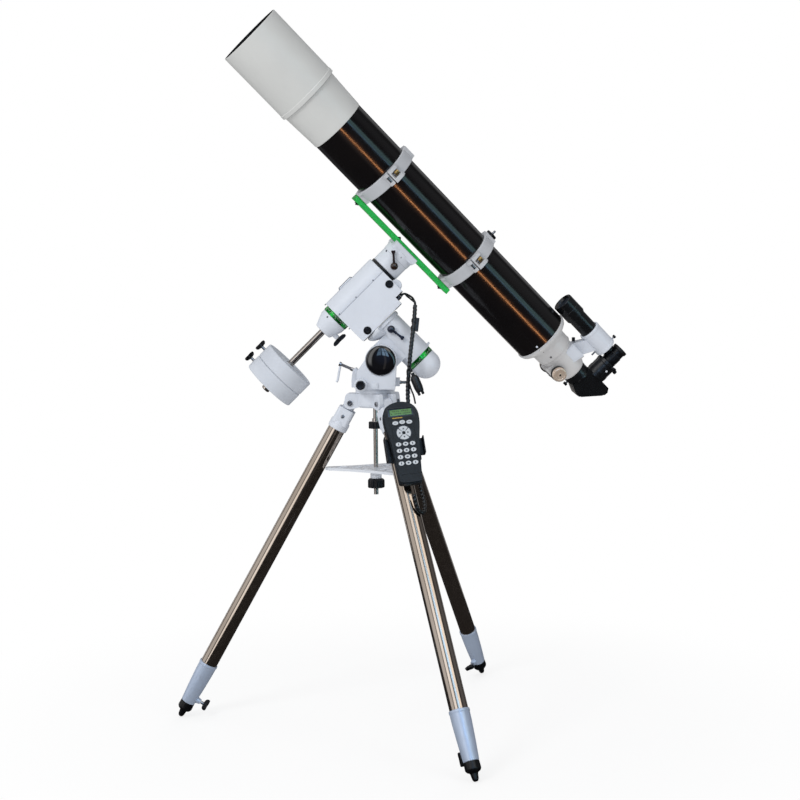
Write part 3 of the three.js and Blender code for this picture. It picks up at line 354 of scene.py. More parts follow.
# ---- mesh building ----------------------------------------------------------
class Bld:
    def __init__(self):
        self.v, self.f, self.mi, self.mats = [], [], [], []

    def idx(self, m):
        if m not in self.mats:
            self.mats.append(m)
        return self.mats.index(m)

    def add(self, verts, faces, M, m):
        o = len(self.v)
        MM = ROOT @ M
        flip = MM.determinant() < 0
        self.v += [tuple(MM @ Vector(p)) for p in verts]
        k = self.idx(m)
        for i, f in enumerate(faces):
            f = [o + a for a in f]
            if flip:
                f.reverse()
            self.f.append(f)
            self.mi.append(k)

    def lathe(self, prof, M, m, seg=96, a0=0.0, a1=None, radial=None):
        """closed (z, r) outline turned about Z; with a1 it is a part turn with end faces"""
        full = a1 is None
        n = len(prof)
        area = sum(prof[i][0] * prof[(i + 1) % n][1] - prof[(i + 1) % n][0] * prof[i][1] for i in range(n))
        if area > 0:
            prof = list(reversed(prof))
        cnt = seg if full else seg + 1
        span = 2 * math.pi if full else a1 - a0
        ring, verts, faces = [], [], []
        for z, r in prof:
            if r < 1e-9:
                ring.append([len(verts)] * cnt)
                verts.append((0, 0, z))
            else:
                base = len(verts)
                for k in range(cnt):
                    a = a0 + span * k / seg
                    rr = r * (radial(a, z, r) if radial else 1)
                    verts.append((rr * math.cos(a), rr * math.sin(a), z))
                ring.append(list(range(base, base + cnt)))
        for i in range(n):
            j = (i + 1) % n
            if prof[i][1] < 1e-9 and prof[j][1] < 1e-9:
                continue
            for k in range(seg):
                k2 = (k + 1) % cnt
                q = [ring[i][k], ring[i][k2], ring[j][k2], ring[j][k]]
                u = []
                for x in q:
                    if x not in u:
                        u.append(x)
                if len(u) >= 3:
                    faces.append(u)
        if not full:
            faces.append([ring[i][0] for i in range(n)])
            faces.append([ring[i][seg] for i in reversed(range(n))])
        self.add(verts, faces, M, m)

    def rod(self, r, z0, z1, M, m, seg=48):
        self.lathe([(z0, 0), (z0, r), (z1, r), (z1, 0)], M, m, seg)

    def ringz(self, ro, ri, z0, z1, M, m, seg=96):
        self.lathe([(z0, ri), (z0, ro), (z1, ro), (z1, ri)], M, m, seg)

    def prism(self, pts, z0, z1, M, m, holes=()):
        def area(p):
            return sum(p[i][0] * p[(i + 1) % len(p)][1] - p[(i + 1) % len(p)][0] * p[i][1] for i in range(len(p)))
        pts = list(pts)
        if area(pts) < 0:
            pts.reverse()
        hs = []
        for h in holes:
            h = list(h)
            if area(h) > 0:
                h.reverse()
            hs.append(h)
        loops = [pts] + hs
        verts, faces, off = [], [], []
        for lp in loops:
            off.append(len(verts) // 2)
            for x, y in lp:
                verts.append((x, y, z0))
                verts.append((x, y, z1))
        base = 0
        for lp in loops:
            n = len(lp)
            for i in range(n):
                a, b = base + i, base + (i + 1) % n
                faces.append([2 * a, 2 * b, 2 * b + 1, 2 * a + 1])
            base += n
        if hs:
            tris = tessellate_polygon([[Vector((x, y, 0)) for x, y in lp] for lp in loops])
            flat = [p for lp in loops for p in lp]
            for t in tris:
                a, b, c = t
                ar = (flat[b][0] - flat[a][0]) * (flat[c][1] - flat[a][1]) - (flat[c][0] - flat[a][0]) * (flat[b][1] - flat[a][1])
                if ar < 0:
                    a, b, c = c, b, a
                faces.append([2 * a + 1, 2 * b + 1, 2 * c + 1])
                faces.append([2 * c, 2 * b, 2 * a])
        else:
            n = len(pts)
            faces.append([2 * i + 1 for i in range(n)])
            faces.append([2 * i for i in reversed(range(n))])
        self.add(verts, faces, M, m)

    def box(self, x0, x1, y0, y1, z0, z1, M, m):
        self.prism([(x0, y0), (x1, y0), (x1, y1), (x0, y1)], z0, z1, M, m)

    def bar(self, r, p, q, M, m, seg=32, r2=None):
        p, q = Vector(p), Vector(q)
        d = (q - p)
        L = d.length
        d.normalize()
        u = Vector((0, 0, 1)) if abs(d.z) < 0.95 else Vector((0, 1, 0))
        x = u.cross(d).normalized()
        y = d.cross(x)
        self.lathe([(0, 0), (0, r), (L, r if r2 is None else r2), (L, 0)], M @ basis(x, y, d, p), m, seg)

    def ball(self, c, r, M, m, seg=40, sz=1.0):
        k = 18
        prof = [(-r * sz * math.cos(math.pi * i / k), r * math.sin(math.pi * i / k)) for i in range(k + 1)]
        prof[0] = (-r * sz, 0)
        prof[-1] = (r * sz, 0)
        self.lathe(prof, M @ T(*c), m, seg)

    def sweep(self, pts, r, M, m, seg=20, mod=None, step=1.5):
        """a round tube along a smooth curve; mod(s, a) scales the radius"""
        P_ = smooth(pts, step)
        n = len(P_)
        tang = [(P_[min(i + 1, n - 1)] - P_[max(i - 1, 0)]).normalized() for i in range(n)]
        u = Vector((0, 0, 1)) if abs(tang[0].z) < 0.9 else Vector((1, 0, 0))
        x = (u - tang[0] * u.dot(tang[0])).normalized()
        verts, faces, s = [], [], 0.0
        for i in range(n):
            if i:
                s += (P_[i] - P_[i - 1]).length
                x = (x - tang[i] * x.dot(tang[i])).normalized()
            y = tang[i].cross(x)
            for k in range(seg):
                a = 2 * math.pi * k / seg
                rr = r * (mod(s, a) if mod else 1)
                verts.append(P_[i] + x * (rr * math.cos(a)) + y * (rr * math.sin(a)))
        for i in range(n - 1):
            for k in range(seg):
                k2 = (k + 1) % seg
                faces.append([i * seg + k, i * seg + k2, (i + 1) * seg + k2, (i + 1) * seg + k])
        faces.append([k for k in reversed(range(seg))])
        faces.append([(n - 1) * seg + k for k in range(seg)])
        self.add(verts, faces, M, m)

    def make(self, name, body, replaces=(), bevel=0.5, angle=28, segs=2, wn=True):
        me = bpy.data.meshes.new(name)
        me.from_pydata(self.v, [], self.f)
        for m in self.mats:
            me.materials.append(m)
        me.polygons.foreach_set('material_index', self.mi)
        me.polygons.foreach_set('use_smooth', [True] * len(self.f))
        me.validate()
        me.update()
        o = bpy.data.objects.new(name, me)
        bpy.context.scene.collection.objects.link(o)
        if bevel:
            b = o.modifiers.new('edge', 'BEVEL')
            b.width = bevel / 1000
            b.segments = segs
            b.limit_method = 'ANGLE'
            b.angle_limit = math.radians(angle)
            b.use_clamp_overlap = True
            b.miter_outer = 'MITER_ARC'
        else:
            me.set_sharp_from_angle(angle=math.radians(angle))
        if wn:
            w = o.modifiers.new('normals', 'WEIGHTED_NORMAL')
            w.keep_sharp = True
            w.weight = 80
        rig.ride(o, body)
        if replaces:
            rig.replaces(o, *replaces)
        for m in self.mats:
            if m.name in SLOT:
                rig.slot(o, SLOT[m.name])
                break
        else:
            if self.mats[0].name in ('cast_white_paint', 'cast_warm_paint', 'tray_white_paint', 'leg_sleeve_paint'):
                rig.slot(o, 'cast_white')
        return o


def smooth(pts, step):
    """Catmull-Rom through the points, at about the given spacing in mm"""
    p = [Vector(q) for q in pts]
    p = [p[0] * 2 - p[1]] + p + [p[-1] * 2 - p[-2]]
    out = []
    for i in range(1, len(p) - 2):
        L = (p[i + 1] - p[i]).length
        k = max(2, int(L / step))
        for j in range(k):
            t = j / k
            a, b, c, d = p[i - 1], p[i], p[i + 1], p[i + 2]
            out.append(0.5 * ((2 * b) + (c - a) * t + (2 * a - 5 * b + 4 * c - d) * t * t + (3 * b - a - 3 * c + d) * t ** 3))
    out.append(p[-2])
    return out


def circ(cx, cy, r, n=48, a0=0.0, a1=2 * math.pi):
    full = a1 - a0 > 6.28
    return [(cx + r * math.cos(a0 + (a1 - a0) * k / (n if full else n - 1)), cy + r * math.sin(a0 + (a1 - a0) * k / (n if full else n - 1))) for k in range(n)]


def rrect(x0, x1, y0, y1, r, n=8):
    out = []
    for cx, cy, a in ((x1 - r, y1 - r, 0), (x0 + r, y1 - r, 1), (x0 + r, y0 + r, 2), (x1 - r, y0 + r, 3)):
        for k in range(n + 1):
            t = (a + k / n) * math.pi / 2
            out.append((cx + r * math.cos(t), cy + r * math.sin(t)))
    return out


def wing(b, M, length, wide, high, stem_r, stem_l, m=None, ms=None):
    """wing knob: spindle on Z, wings along X, underside at z = 0"""
    m, ms = m or m_blk, ms or m_bolt
    h, w = length / 2, wide / 2
    top = []
    for k in range(13):
        t = math.pi * k / 12
        top.append((h * math.cos(t) if abs(math.cos(t)) < 0.999 else h * math.cos(t), high * (0.72 + 0.28 * math.sin(t) ** 0.6) - (high * 0.10 * math.exp(-((h * math.cos(t)) / (w * 1.2)) ** 2))))
    pts = top + [(-h, high * 0.40), (-h * 0.75, high * 0.10), (-w, 0), (w, 0), (h * 0.75, high * 0.10), (h, high * 0.40)]
    b.prism(pts, -w * 0.78, w * 0.78, M @ Matrix.Rotation(math.pi / 2, 4, 'X'), m)
    b.lathe([(-0.2, 0), (-0.2, w * 0.98), (high * 0.25, w * 1.04), (high * 0.8, w * 0.92), (high * 0.86, w * 0.7), (high * 0.86, 0)], M, m, 40)
    b.rod(stem_r, -stem_l, 1, M, ms, 32)


def ribbed(r, lobes, depth):
    return lambda a, z, rr: (1 - depth / r * (0.5 - 0.5 * math.cos(lobes * a)) ** 1.6) if rr > r * 0.8 else 1


def screw(b, M, r=2.6, h=1.2, m=None, hexd=True):
    """small socket head standing on z = 0"""
    m = m or m_blk
    b.lathe([(-1, 0), (-1, r), (h * 0.7, r), (h, r * 0.8), (h, r * 0.45), (h * 0.2, r * 0.42), (h * 0.2, 0)], M, m, 28)


# ---- leads (first after the camera) -------------------------------------------
BUNDLE = [(108, -34, 1116), (106, -46, 1085), (102, -58, 1050), (97, -66, 1010), (94, -70, 984), (90, -74, 940), (87, -78, 900), (88, -84, 860), (96, -98, 800),
          (104, -118, 745), (111, -142, 695), (118, -166, 650), (127, -190, 612), (124, -208, 594), (112, -218, 600), (104, -222, 620), (100, -222, 642)]
b = Bld()
b.sweep(BUNDLE, 5.75, W, m_wrap, seg=28, mod=lambda s, a: 0.93 + 0.07 * max(-1, min(1, 2.6 * math.sin(2 * math.pi * s / 10.5 - a))), step=1.0)
lead_ob = b.make('lead_bundle_wrapped', 'leg_front', ['lead_bundle'], bevel=0, angle=60, wn=False)


def declare(o, pts, M, r, far, lay, pieces=()):
    q = [ROOT @ (M @ p_) for p_ in smooth(pts, 2.5)]
    n_ = sum((q[i + 1] - q[i]).length for i in range(len(q) - 1))
    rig.cord(o, exit=list(q[0]), length=n_, diameter=2 * r / 1000, far_end=far, stiffness='medium', lay=lay, path=[list(p_) for p_ in q], with_pieces=list(pieces))


declare(lead_ob, BUNDLE, W, 5.75, 'object', 'hanging')
b = Bld()
DEC = [(80, -16, 79.4), (80.5, -16, 86), (84, -17, 92), (91, -18, 95.5)]
PI_ = P.inverted()
j0 = Vector((91, -18, 95.5))
j1 = PI_ @ Vector((105.5, -31, 1128))
j2 = PI_ @ Vector((108.2, -33.2, 1122))
j3 = PI_ @ Vector((108.2, -34, 1116.5))
DEC += [tuple((j0 + j1) / 2 + Vector((2, 1, 2.5))), tuple(j1), tuple(j2), tuple(j3)]
b.sweep(DEC, 2.75, P, m_cord, seg=20)
dec_ob = b.make('lead_dec_cord', 'declination_head', ['lead_dec'], bevel=0, angle=60, wn=False)
declare(dec_ob, DEC, P, 2.75, 'object', 'loose')
RAL = [Vector((86, -21.3, 92.4)), Vector((92, -23, 91.5)), (j0 + j1) / 2 + Vector((-2.5, -7, -3.5)), j1 + Vector((-3, -6, -3)), j2 + Vector((-3, -4.5, 0)), j3 + Vector((-2.5, -4, 1))]
b = Bld()
b.sweep(RAL, 2.2, P, m_cord, seg=20)
ral_ob = b.make('lead_branch_cord', 'declination_head', [], bevel=0, angle=60, wn=False)
declare(ral_ob, RAL, P, 2.2, 'object', 'loose')
b = Bld()
b.lathe([(79.3, 0), (79.3, 4.6), (84, 4.4), (87, 3.2), (87, 0)], P @ T(80, -16, 0), m_cord, 32)
b.make('lead_dec_boot', 'declination_head', [], bevel=0, angle=60, wn=False)
PW = [(98.7, -92, 942.4), (96, -91.5, 949), (91, -91, 953), (86, -92, 946), (88, -93, 925), (95, -92, 900), (102, -100, 882), (106, -122, 864)]
b = Bld()
b.sweep(PW, 2.2, W, m_cord, seg=16)
pw_ob = b.make('lead_power_cord', 'leg_front', ['lead_power'], bevel=0, angle=60, wn=False)
b = Bld()
p0, p1 = Vector((99, -92, 941)), Vector((126, -97, 876))
dz = (p1 - p0).normalized()
dx = Vector((0, -1, 0)).cross(dz).normalized()
PM = basis(dx, dz.cross(dx), dz, p0)
b.lathe([(0, 0), (0, 4.2), (6, 4.6), (10, 8.6), (16, 11.2), (40, 11.4), (52, 9.8), (54, 8.2), (54, 0)], PM, m_plug, 48, radial=lambda a, z, r: 1 + 0.03 * math.cos(12 * a))
for s in (-1, 1):
    b.lathe([(50, 0), (50, 3.8), (60, 3.6), (61.8, 2.6), (61.8, 0)], PM @ T(s * 5.2, 0, 0), m_plug, 28)
for z in (2.0, 4.2, 6.4):
    b.lathe([(z, 3), (z, 5.3), (z + 1.1, 5.3), (z + 1.1, 3)], PM, m_plug, 32)
pl_ob = b.make('power_plug_body', 'leg_front', ['power_plug'], bevel=0.5)
declare(pw_ob, PW[::-1], W, 2.2, 'plug', 'hanging', [pl_ob])

# ---- optical tube ---------------------------------------------------------------
OX = O @ AX
b = Bld()
b.lathe([(-380, 74.5), (-380, 76.5), (440, 76.5), (440, 74.5)], OX, m_tube, 160)
tube_ob = b.make('tube_shell', 'tube_assembly', ['optical_tube'], bevel=0.4)
b = Bld()
b.lathe([(-505, 75.2), (-505, 83.4), (-459, 83.4), (-459, 82.2), (-455, 82.2), (-375, 78.6), (-356, 77.9), (-353, 77.2), (-353, 76.8), (-380.3, 76.8), (-380.3, 71.5), (-446, 71.5), (-446, 75.2)], OX, m_shield, 160)
b.lathe([(-504.9, 74.2), (-504.9, 75.4), (-446, 75.4), (-446, 74.2)], OX, m_matt_black_and_hole_shade, 96)
b.make('lens_cell', 'tube_assembly', ['objective_cell'], bevel=0.5, angle=25)
b = Bld()
pr = []
for k in range(17):
    t = k / 16
    pr.append((-475 + 9.0 * t ** 2 * 1.0, 74.8 * t))
pr += [(-447.2, 74.8), (-447.2, 73)] + [(-450.5 + 3.2 * (1 - k / 8) ** 2, 73 * (1 - k / 8)) for k in range(1, 9)]
pr[0] = (-475, 0)
pr[-1] = (-450.5, 0)
b.lathe(pr, OX, m_lens, 96)
b.make('objective_glass', 'tube_assembly', ['objective_lens'], bevel=0, angle=40, wn=False)
b = Bld()
b.lathe([(-667, 84.2), (-667, 86.0), (-666, 86.6), (-471.5, 86.6), (-470, 87.7), (-460.2, 87.7), (-459.4, 86.9), (-459.3, 84.2)], OX, m_shield, 160)
b.lathe([(-666.6, 83.9), (-666.6, 84.5), (-459.3, 84.5), (-459.3, 83.9)], OX, m_matt_black_and_hole_shade, 128)
b.lathe([(-667.15, 83.9), (-667.15, 85.6), (-666.6, 85.6), (-666.6, 83.9)], OX, m_matt_black_and_hole_shade, 128)
b.make('dew_shield_shell', 'dew_shield', ['dew_shield'], bevel=0.35, angle=24)

for x, nm in ((-176, 'front'), (141, 'rear')):
    RR = OX @ T(0, 0, x)
    lo = Bld()
    deg = math.radians
    band = [(-17, 77.1), (-17, 82.2), (-15.6, 83.2), (15.6, 83.2), (17, 82.2), (17, 77.1)]
    lo.lathe(band, RR, m_ring, 96, deg(-180 - 2.2), deg(0.3))
    lo.lathe([(-14, 76.62), (-14, 77.3), (14, 77.3), (14, 76.62)], RR, m_gask, 96, deg(-178), deg(-2))
    X0 = O @ T(x, 0, 0)
    # foot on the bar
    lo.prism([(-21, -88.1), (21, -88.1), (24, -76), (-24, -76)], -17, 17, X0 @ YZ, m_ring)
    for sx in (-1, 1):
        lo.prism([(-34, -76.4), (-21, -88.1), (21, -88.1), (34, -76.4), (0, -80)], sx * 14 - 2.5, sx * 14 + 2.5, X0 @ YZ, m_ring)
    # near lug, split for the clamp screw
    for sx in (-1, 1):
        lo.prism([(-79.5, -14), (-91, -13), (-98.2, -7), (-98.2, 0.4), (-80, 0.4)], 12.5 + sx * 0 - 4.5 if sx > 0 else -17, 17 if sx > 0 else -8, X0 @ YZ, m_ring)
    lo.prism([(-79.5, -13.5), (-89, -12), (-93, -6), (-93, 0.4), (-80, 0.4)], -16, 16, X0 @ YZ, m_ring)
    lo.bar(3.4, (x - 16.5, -93, -5.5), (x + 16.5, -93, -5.5), O, m_bolt)
    # far hinge lugs
    lo.prism([(79, -12), (88, -10), (92, -3), (92.4, 3), (90, 6.8), (85, 6.8), (82, 2), (79, 0.4)], -17, -6.3, X0 @ YZ, m_ring)
    lo.prism([(79, -12), (88, -10), (92, -3), (92.4, 3), (90, 6.8), (85, 6.8), (82, 2), (79, 0.4)], 6.3, 17, X0 @ YZ, m_ring)
    lo.bar(2.6, (x - 17.8, 87.5, 2), (x + 17.8, 87.5, 2), O, m_bolt)
    lo.make('ring_%s_lower_casting' % nm, 'tube_assembly', ['ring_%s_lower' % nm], bevel=0.7, angle=30)
    hi = Bld()
    hi.lathe(band, RR, m_ring, 96, deg(2.6), deg(177.4))
    hi.lathe([(-14, 76.62), (-14, 77.3), (14, 77.3), (14, 76.62)], RR, m_gask, 96, deg(4), deg(176))
    hi.prism([(-80, 3.6), (-98.2, 3.6), (-98.4, 12), (-92, 30), (-84.5, 35), (-75, 35)], -17, -8.2, X0 @ YZ, m_ring)
    hi.prism([(-80, 3.6), (-98.2, 3.6), (-98.4, 12), (-92, 30), (-84.5, 35), (-75, 35)], 8.2, 19.5, X0 @ YZ, m_ring)
    hi.prism([(-80, 3.6), (-86, 3.6), (-85.5, 20), (-82, 34), (-75, 34)], -9, 9, X0 @ YZ, m_ring)
    hi.prism([(-80, 3.6), (-97.8, 3.6), (-97.6, 9.5), (-86, 10.5), (-80, 10.5)], -9, 9, X0 @ YZ, m_ring)
    # swing bolt with its knurled nut and pin
    hi.bar(2.9, (x, -92, 6), (x, -92, 26), O, m_bolt)
    hi.lathe([(15, 0), (15, 5.6), (16, 6.4), (25, 6.4), (27, 5.2), (27.5, 0)], O @ T(x, -92, 0), m_gold, 48, radial=lambda a, z, r: 1 - 0.05 * (0.5 + 0.5 * math.cos(24 * a)) if r > 5.4 else 1)
    hi.bar(2.2, (x - 15.5, -95.5, 8.2), (x + 18.5, -95.5, 8.2), O, m_gold)
    # top pad with tapped hole
    hi.prism([(-23, 79), (-15, 89), (15, 89), (23, 79), (0, 82)], -17, 17, X0 @ YZ, m_ring)
    hi.lathe([(88.6, 3.3), (88.6, 4.6), (89.1, 4.6), (89.1, 3.3)], X0, m_bolt, 32)
    # flat black disc flush with the pad: painted shade standing in for the depth of the tapped hole
    hi.rod(3.3, 88.2, 89.05, X0, m_matt_black_and_hole_shade, 32)
    # strap to the hinge
    hi.prism([(79, 3.6), (84, -2.2), (91, -2.2), (92.8, 2.6), (91, 9), (85, 15), (78, 20), (76, 14)], -5.9, 5.9, X0 @ YZ, m_ring)
    hi.make('ring_%s_upper_casting' % nm, 'ring_%s' % nm, ['ring_%s_upper' % nm], bevel=0.7, angle=30)

b = Bld()
b.prism([(-18, -88.4), (-22, -103.4), (22, -103.4), (18, -88.4)], -192, 163, O @ YZ, m_green)
for x in (-176, 141):
    b.lathe([(-108.6, 0), (-108.6, 2.6), (-106.0, 2.7), (-106, 6.4), (-102, 6.5), (-102, 0)], O @ T(x, 0, 0), m_blk, 6)
b.lathe([(-192.6, 0), (-192.6, 3.2), (-190, 3.4), (-190, 0)], O @ T(0, 0, -96) @ AX, m_bolt, 32)
b.make('dovetail_bar_green', 'tube_assembly', ['dovetail_bar'], bevel=0.7)
b = Bld()
b.lathe([(89.3, 0), (89.3, 13.2), (90.2, 15.5), (95.6, 15.5), (97, 13.8), (97.2, 0)], O @ T(141, 0, 0), m_blk, 96, radial=lambda a, z, r: 1 - 0.10 * (0.5 - 0.5 * math.cos(8 * a)) if r > 12 else 1)
b.lathe([(96, 0), (96, 3.1), (106.8, 3.1), (108, 2.2), (108, 0)], O @ T(141, 0, 0), m_bolt, 32, radial=None)
for k in range(6):
    b.lathe([(98 + k * 1.5, 2.9), (98.4 + k * 1.5, 3.35), (98.8 + k * 1.5, 2.9)], O @ T(141, 0, 0), m_bolt, 32)
b.make('piggyback_camera_knob', 'piggyback_knob', ['piggyback_knob'], bevel=0.4)

# ---- rear cell, focuser ----------------------------------------------------------
b = Bld()
b.lathe([(424, 40), (424, 74.2), (440.3, 74.2), (440.3, 78.3), (446.5, 78.3), (448, 77.4), (450, 77.0), (454, 74.2), (468, 54), (462, 62.5), (468, 55.6), (471, 53.6), (474, 53), (500, 52.4), (501.6, 51.6), (502, 49.4), (512, 48.9), (512, 40)], OX, m_warm, 144)
b.lathe([(441, 78), (441, 79.2), (443.8, 79.2), (443.8, 78)], OX, m_ring, 144)
b.lathe([(497.4, 52), (497.4, 53.1), (500, 53.1), (500, 52)], OX, m_warm, 128)
screw(b, O @ T(490, -47.6, -21.6) @ basis((1, 0, 0), (0, 0.40, -0.917), (0, -0.917, -0.40)), 2.8, 1.4)
screw(b, O @ T(459, -60.5, -27) @ basis((1, 0, 0), (0, 0.40, -0.917), (0, -0.917, -0.40)), 1.6, 0.6)
for a in (-2.7, -1.3, 0.4, 1.9):
    screw(b, O @ AX @ RZ(a) @ T(78.2, 0, 443.5) @ basis((0, 0, 1), (0, 1, 0), (1, 0, 0)) @ Matrix.Diagonal((1, 1, 1, 1)), 1.7, 0.5)
for a_ in (0.408, 0.408 + 2 * math.pi / 3, 0.408 - 2 * math.pi / 3):
    yy_, zz_ = -math.cos(a_), -math.sin(a_)
    b.lathe([(0, 0), (0, 3.0), (0.9, 2.8), (1.6, 1.9), (1.8, 0)], O @ Matrix.Translation((432, 76.7 * yy_, 76.7 * zz_)) @ basis((1, 0, 0), (0, zz_, -yy_), (0, yy_, zz_)), m_cast, 32)
b.make('rear_cell_casting', 'tube_assembly', ['rear_flange'], bevel=0.5, angle=24)
b = Bld()
b.lathe([(512.4, 31), (512.4, 46.8), (514, 47.2), (540, 46.2), (560, 43.2), (571, 40.2), (579, 36.6), (582.5, 32.5), (582.5, 31)], OX, m_warm, 128)
b.prism(rrect(-32, 32, -56, -30, 6, 6), 516, 560, O @ YZ, m_warm)
b.prism([(-24, -57), (24, -57), (24, -54), (-24, -54)], 521, 555, O @ YZ, m_blk)
for sx in (526, 550):
    for sy in (-18, 18):
        screw(b, O @ T(sx, sy, -57) @ Matrix.Rotation(math.pi, 4, 'X'), 2.0, 0.9, m_bolt)
b.lathe([(31, 0), (31, 13), (45.5, 12.4), (46.6, 11.2), (46.6, 0)], O @ T(537, 0, -38.5) @ AY, m_blk, 64)
b.lathe([(-31, 0), (-31, 13), (-45.5, 12.4), (-46.6, 11.2), (-46.6, 0)], O @ T(537, 0, -38.5) @ AY, m_blk, 64)
# finder shoe
b.prism([(519, 20), (560, 20), (566, 28), (566, 47.2), (519, 47.2)], -23, 23, O @ XZ, m_warm)
b.prism([(510, 10), (544, 10), (551, 18), (556, 46.6), (510, 46.6)], -23, 43, O @ XZ, m_cast)
b.prism([(514, 16), (541, 16), (546, 22), (550, 43), (514, 43)], 42.5, 44.4, O @ XZ, m_cast)
b.prism([(519.6, 44.6), (565.6, 44.6), (565.6, 45.4), (519.6, 45.4)], -23.3, 23.3, O @ XZ, m_seam)
b.bar(2.2, (542, -29, 41), (542, -23, 41), O, m_bolt)
b.lathe([(23.2, 0), (23.2, 4.6), (29, 5.4), (34, 5.2), (35, 0)], O @ T(542, 0, 41) @ basis((1, 0, 0), (0, 0, 1), (0, -1, 0)), m_blk, 40, radial=lambda a, z, r: 1 - 0.06 * (0.5 + 0.5 * math.cos(16 * a)) if r > 4 else 1)
b.make('focuser_housing', 'tube_assembly', ['focuser_body'], bevel=0.8, angle=24)
b = Bld()
b.lathe([(514, 26.2), (514, 30.6), (583.2, 30.6), (583.2, 34.0), (600.6, 34.2), (602.5, 33), (602.5, 26.2)], OX, m_satin, 128)
b.lathe([(584.4, 34.0), (584.4, 34.6), (590, 34.6), (590, 34.0)], OX, m_satin, 128, radial=lambda a, z, r: 1 - 0.006 * (0.5 + 0.5 * math.cos(70 * a)) if r > 34.3 else 1)
b.bar(2.9, (593, 0, -32), (593, 0, -39), O, m_bolt)
b.lathe([(38.2, 0), (38.2, 5.4), (39, 6), (44.4, 6), (45.2, 5.2), (45.2, 0)], O @ T(593, 0, 0) @ Matrix.Rotation(math.pi, 4, 'X'), m_blk, 48, radial=lambda a, z, r: 1 - 0.06 * (0.5 + 0.5 * math.cos(18 * a)) if r > 5 else 1)
b.bar(2.0, (556, 0, -30), (584, 0, -30.3), O, m_bolt)
b.make('drawtube_barrel', 'drawtube', ['drawtube'], bevel=0.4, angle=24)
b = Bld()
FK = O @ T(537, 0, -38.5)
b.rod(3.7, -60, 60, FK @ AY, m_bolt, 40)
for s in (1, -1):
    m_ = FK @ AY if s > 0 else FK @ basis((0, 0, 1), (-1, 0, 0), (0, -1, 0))
    b.lathe([(47.2, 0), (47.2, 19.4), (48.4, 20.8), (58.6, 20.8), (60, 19.6), (60, 0)], m_, m_blk, 128, radial=lambda a, z, r: 1 - 0.035 * (0.5 + 0.5 * math.cos(44 * a)) if r > 20 else 1)
    b.lathe([(59.5, 0), (59.5, 18.9), (61, 19.8), (67.4, 19.2), (70.4, 17.8), (71.3, 15.6), (71.3, 12.8), (70.2, 12.0), (70.2, 4.4), (71.0, 4.0), (71.0, 0)], m_, m_bronze, 128)
    b.lathe([(70.6, 0), (70.6, 3.1), (71.5, 2.6), (71.5, 0)], m_, m_blk, 32)
b.make('focus_knob_pair', 'focus_shaft', ['focus_knobs'], bevel=0.35, angle=26)

# ---- diagonal, eyepiece -------------------------------------------------------------
b = Bld()
w_ = [(603, -30), (612, -35), (632, -42), (640, -40.5), (691, 14), (692, 24), (684, 34.5), (603, 34.5)]
b.prism(w_, -24, 24, O @ XZ, m_satin)
nrm = Vector((54.5, 0, -51)).normalized()
b.prism([(-24, -31), (24, -31), (24, 31), (-24, 31)], 0, 1.4, O @ basis((0, 1, 0), Vector((51, 0, 54.5)).normalized(), nrm * 1.0, Vector((665.5, 0, -13.2))), m_blk)
for sy in (-19, 19):
    for sz in (-26, 26):
        screw(b, O @ basis((0, 1, 0), Vector((51, 0, 54.5)).normalized(), nrm, Vector((665.5, 0, -13.2)) + Vector((51, 0, 54.5)).normalized() * sz + Vector((0, sy, 0)) + nrm * 1.3), 1.7, 0.6, m_bolt)
OUT = O @ T(636, 0, 0)
b.lathe([(30, 0), (30, 29), (72, 29), (74, 30.2), (83, 30.2), (84, 29.4), (84, 16.6), (52, 16.6), (52, 0)], OUT, m_satin, 128)
b.lathe([(40, 28), (40, 29.7), (41, 30), (50, 30), (51, 29.6), (51, 28)], OUT, m_satin, 128, radial=lambda a, z, r: 1 - 0.01 * (0.5 + 0.5 * math.cos(60 * a)) if r > 29.8 else 1)
b.lathe([(83.4, 16.6), (83.4, 28.6), (84.05, 28.6), (84.05, 16.6)], OUT, m_bolt, 96)
b.lathe([(560, 22), (560, 25.8), (604, 25.8), (604, 22)], OX, m_bolt, 96)
b.lathe([(602.7, 0), (602.7, 30.5), (604.5, 31.5), (609, 31.5), (610, 30), (610, 0)], OX, m_satin, 96)
b.lathe([(-1, 0), (-1, 3.4), (0.5, 3.2), (0.9, 2.4), (0.9, 0)], O @ T(642, -28.6, 62) @ basis((1, 0, 0), (0, 0, 1), (0, -1, 0)), m_key, 32)
b.bar(2.4, (663, 0, 79), (671, 0, 79), O, m_bolt)
b.bar(5.4, (670, 0, 79), (676, 0, 79), O, m_blk, 24)
b.bar(2.4, (646, -27, 79), (650, -36, 79), O, m_bolt)
b.bar(5.4, (649.4, -34.8, 79), (652, -40.6, 79), O, m_blk, 24)
b.make('diagonal_body', 'diagonal', ['star_diagonal'], bevel=1.0, angle=26, segs=3)
b = Bld()
EP = O @ T(636, 0, 0)
b.lathe([(56, 0), (56, 15.8), (84.4, 15.8), (84.4, 0)], EP, m_bolt, 96)
b.lathe([(84.6, 0), (84.6, 20), (88, 21), (94, 21), (94, 20.3), (96, 20.3), (96, 21), (112, 21), (114, 19.6), (126, 19.4), (128, 20), (128, 0)], EP, m_blk, 128, radial=lambda a, z, r: 1 - 0.018 * (0.5 + 0.5 * math.cos(54 * a)) if (r > 20.6 and z > 95) else 1)
b.lathe([(126, 8), (126, 19.8), (128, 21.4), (134, 21.9), (136, 21.2), (136, 15), (132, 11.5), (130.4, 10), (130.2, 8)], EP, m_gask, 96)
b.lathe([(128, 0), (128, 9), (129.2, 9), (130.0, 5), (130.2, 0)], EP, m_lens, 64)
b.make('eyepiece_barrel', 'eyepiece', ['eyepiece'], bevel=0.4, angle=24)

